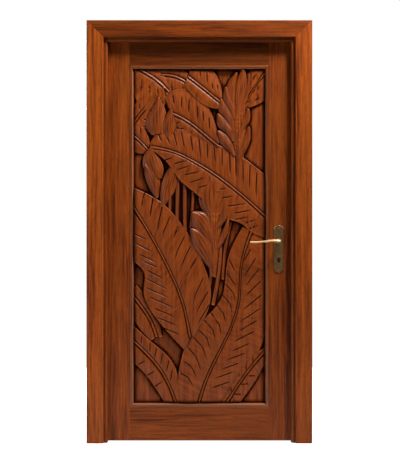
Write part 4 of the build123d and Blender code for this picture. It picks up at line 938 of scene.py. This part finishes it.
def around_plate(tree, place, mask):
    """Adds painted highlight along the plates' long edges and painted shade round their keyholes to
    a wear mask.
    """
    middle_x, keyhole_z, narrow = 0.400, 0.917, 1.6
    across = add(tree, "ShaderNodeSeparateXYZ", place).outputs["X"]
    # A lighter band along the plates' long edges, painted highlight of their bevels.
    edge_highlight = remap(tree, away_from(tree, across, middle_x), 0.0195, 0.0240, 0.0, 0.7)
    # A dark patch round the keyhole, painted shade of the hole.
    flat = add(tree, "ShaderNodeVectorMath", place, (narrow, 0.0, 1.0), operation="MULTIPLY")
    hole = (narrow * middle_x, 0.0, keyhole_z)
    away = add(tree, "ShaderNodeVectorMath", flat.outputs[0], hole, operation="DISTANCE")
    keyhole_shade = remap(tree, away.outputs["Value"], 0.009, 0.015, -1.6, 0.0)
    return weighted(tree, (mask, 1.0), (edge_highlight, 1.0), (keyhole_shade, 1.0))


def aged_brass(name, bare, tarnish, wear, plate=False):
    """Tarnished brass, bare in clouds; below zero, the mask turns to painted shade."""
    material, tree, shader, place = new_material(name)
    cloud = add(tree, "ShaderNodeTexNoise", place, scale=38.0, detail=4.0, roughness=0.6)
    speck = add(tree, "ShaderNodeTexNoise", place, scale=420.0, detail=2.0).outputs["Fac"]
    mask = weighted(tree, (cloud.outputs["Fac"], 0.7), (speck, 0.3))
    mask = remap(tree, mask, 0.38, 0.62, 0.0, wear)
    if plate:
        mask = around_plate(tree, place, mask)
    colour = mixed(tree, remap(tree, mask, 0.0, 1.0), tarnish, bare)
    painted_shade_mask = remap(tree, mask, -0.1, -0.9)
    feed(tree, shader, {
        "Base Color": mixed(tree, painted_shade_mask, colour, (0.012, 0.008, 0.004)),
        "Roughness": remap(tree, mask, 0.0, 1.0, 0.50, 0.30),
        "Normal": raised(tree, speck, 0.3, 0.0003),
        "Metallic": 1.0,
    })
    return material


finish(aged_brass("handle_brass", (0.86, 0.62, 0.36), (0.52, 0.33, 0.17), 0.9),
       "lever_front", "lever_back")
finish(aged_brass("plate_brass", (0.46, 0.28, 0.13), (0.20, 0.112, 0.047), 0.7, plate=True),
       "backplate_front", "backplate_back")
hinge_names = [f"hinge_{level}_{part}" for level in ("top", "middle", "bottom")
               for part in ("jamb_leaf", "door_leaf", "pin")]
finish(aged_brass("hinge_brass", (0.55, 0.37, 0.18), (0.30, 0.18, 0.08), 0.8),
       "strike_plate", "forend", *hinge_names)


# ---- Screws ----
# Slotted brass screws with countersunk heads, turned from bar and driven flush.

finish(aged_brass("screw_brass", (0.60, 0.42, 0.22), (0.30, 0.18, 0.08), 0.9),
       "plate_screws", "hinge_jamb_screws", "hinge_door_screws", "forend_screws", "strike_screws")


# ---- Lock ----
# A mortise lock: a folded steel case with a screwed cover, and a machined follower, latch
# and bolt inside it, joined to the levers by a square steel spindle. Brushed and bright.

def brushed_steel():
    """Steel with fine lines from brushing."""
    material, tree, shader, place = new_material("lock_steel")
    lines = remap(tree, stretched_noise(tree, place, (900.0, 900.0, 25.0), 2.0, 0.6), 0.35, 0.65)
    feed(tree, shader, {
        "Base Color": mixed(tree, lines, (0.36, 0.36, 0.35), (0.58, 0.58, 0.56)),
        "Roughness": remap(tree, lines, 0.0, 1.0, 0.42, 0.30),
        "Metallic": 1.0,
    })
    return material


finish(brushed_steel(), "lock_case", "lock_cover", "latch_spring", "follower", "spindle",
       "grub_screws", "latch_bolt", "deadbolt")


def plate_stack():
    """Geometry nodes that set copies of one plate side by side through the case."""
    sizes = {"Count": "Int", "Pitch": "Vector", "Material": "Material"}
    kind = "GeometryNodeTree"
    tree = new_group("plate_stack", {"Plate": "Geometry", **sizes}, {"Stack": "Geometry"}, kind)
    plate, count, pitch, material = add(tree, "NodeGroupInput").outputs[:4]
    places = add(tree, "GeometryNodeMeshLine", count=count, offset=pitch).outputs[0]
    copies = add(tree, "GeometryNodeInstanceOnPoints", places, instance=plate).outputs[0]
    real = add(tree, "GeometryNodeRealizeInstances", copies).outputs[0]
    dress = add(tree, "GeometryNodeSetMaterial", real, material=material)
    add(tree, "NodeGroupOutput", dress.outputs[0])
    return tree


def make_lever_pack():
    """The thin plates that a key lifts, stacked across the keyhole inside the case."""
    outline = [
        (0.385, 0.895), (0.418, 0.895), (0.421, 0.903),
        (0.421, 0.931), (0.412, 0.936), (0.385, 0.936),
    ]
    size = len(outline)
    points = [(x, y, z) for y in (-0.0018, -0.0006) for x, z in outline]
    faces = [range(size), range(2 * size - 1, size - 1, -1)]
    for i in range(size):
        j = (i + 1) % size
        faces.append((j, i, i + size, j + size))
    mesh = bpy.data.meshes.new("lock_lever_plate")
    mesh.from_pydata(points, [], faces)
    pack = new_object("lock_lever_pack", mesh)
    stack = pack.modifiers.new("stack", "NODES")
    stack.node_group = plate_stack()
    values = {
        "Count": 3, "Pitch": (0.0, 0.0016, 0.0), "Material": bpy.data.materials["lock_steel"]
    }
    for port in stack.node_group.interface.items_tree:
        if port.name in values:
            stack[port.identifier] = values[port.name]
    shaped = pack.evaluated_get(bpy.context.evaluated_depsgraph_get())
    pack_mesh = bpy.data.meshes.new_from_object(shaped)
    pack.modifiers.remove(stack)
    pack.data = pack_mesh
    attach(pack, "leaf")


make_lever_pack()


# ---- Studio ----
# A pale floor, a white surround that the camera and clear parts see, and four soft lamps:
# one high on the right, two weak ones on the left, and one for the door's back.

def make_floor():
    half = 3.2
    corners = [(-half, -half, 0), (half, -half, 0), (half, half, 0), (-half, half, 0)]
    mesh = bpy.data.meshes.new("floor")
    mesh.from_pydata(corners, [], [(0, 1, 2, 3)])
    material, tree, shader, _ = new_material("floor_paint")
    seen = add(tree, "ShaderNodeLightPath").outputs["Is Camera Ray"]
    feed(tree, shader, {
        "Base Color": (0.82, 0.82, 0.81, 1.0),
        "Roughness": 0.7,
        "Emission Color": (1.0, 1.0, 1.0, 1.0),
        "Emission Strength": remap(tree, seen, 0.0, 1.0, 0.0, 0.93),
    })
    mesh.materials.append(material)
    floor = new_object("floor", mesh)


make_floor()


def make_world():
    """Dim light from above, and plain white where the camera or a clear part looks past."""
    world = bpy.data.worlds.new("studio")
    bpy.context.scene.world = world
    world.use_nodes = True
    tree = world.node_tree
    tree.nodes.clear()
    way = add(tree, "ShaderNodeTexCoord").outputs["Generated"]
    height = add(tree, "ShaderNodeSeparateXYZ", way).outputs["Z"]
    soft = remap(tree, height, -0.3, 1.0, 0.015, 0.05)
    rays = add(tree, "ShaderNodeLightPath").outputs
    seen = (rays["Is Camera Ray"], rays["Is Transmission Ray"])
    seen = add(tree, "ShaderNodeMath", *seen, operation="MAXIMUM").outputs[0]
    strength = add(tree, "ShaderNodeMix", seen)
    feed(tree, strength, {"A": soft, "B": 1.0})
    white = (1.0, 1.0, 1.0, 1.0)
    light = add(tree, "ShaderNodeBackground", white, strength.outputs[0])
    add(tree, "ShaderNodeOutputWorld", light.outputs[0])


make_world()


def lamp(name, place, aim, size, power, colour=(1.0, 1.0, 1.0), sheen=1.0):
    data = bpy.data.lights.new(name, "AREA")
    data.shape = "RECTANGLE"
    data.size, data.size_y = size
    data.energy = power
    data.color = colour
    data.specular_factor = sheen
    obj = new_object(name, data)
    obj.location = place
    obj.rotation_euler = (Vector(aim) - Vector(place)).to_track_quat("-Z", "Y").to_euler()


warm = (1.0, 0.94, 0.86)
lamp("key", (1.35, -1.15, 3.95), (0.0, 0.0, 1.1), (0.6, 0.6), 215.0, warm)
lamp("side", (-2.30, -1.50, 1.25), (0.0, 0.0, 1.1), (0.4, 2.2), 17.0, sheen=0.25)
lamp("front", (-2.10, -2.50, 0.30), (0.0, 0.0, 0.7), (1.2, 0.8), 5.0, sheen=0.15)
lamp("back", (-1.40, 3.20, 2.60), (0.0, 0.0, 1.0), (1.4, 1.4), 150.0, warm, sheen=0.5)


def make_camera():
    """Square on to the door, as far off as its lining's perspective shows."""
    away, view_h, casing_front, sensor = 6.08, 2.285, 0.0775, 36.0
    data = bpy.data.cameras.new("camera")
    data.sensor_width = sensor
    data.lens = sensor * (away - casing_front) / view_h
    camera = new_object("camera", data)
    camera.location = (0.003, -away, 1.0755)
    camera.rotation_euler = (radians(90), 0, 0)
    bpy.context.scene.camera = camera


make_camera()
bpy.context.scene.view_settings.view_transform = "Standard"
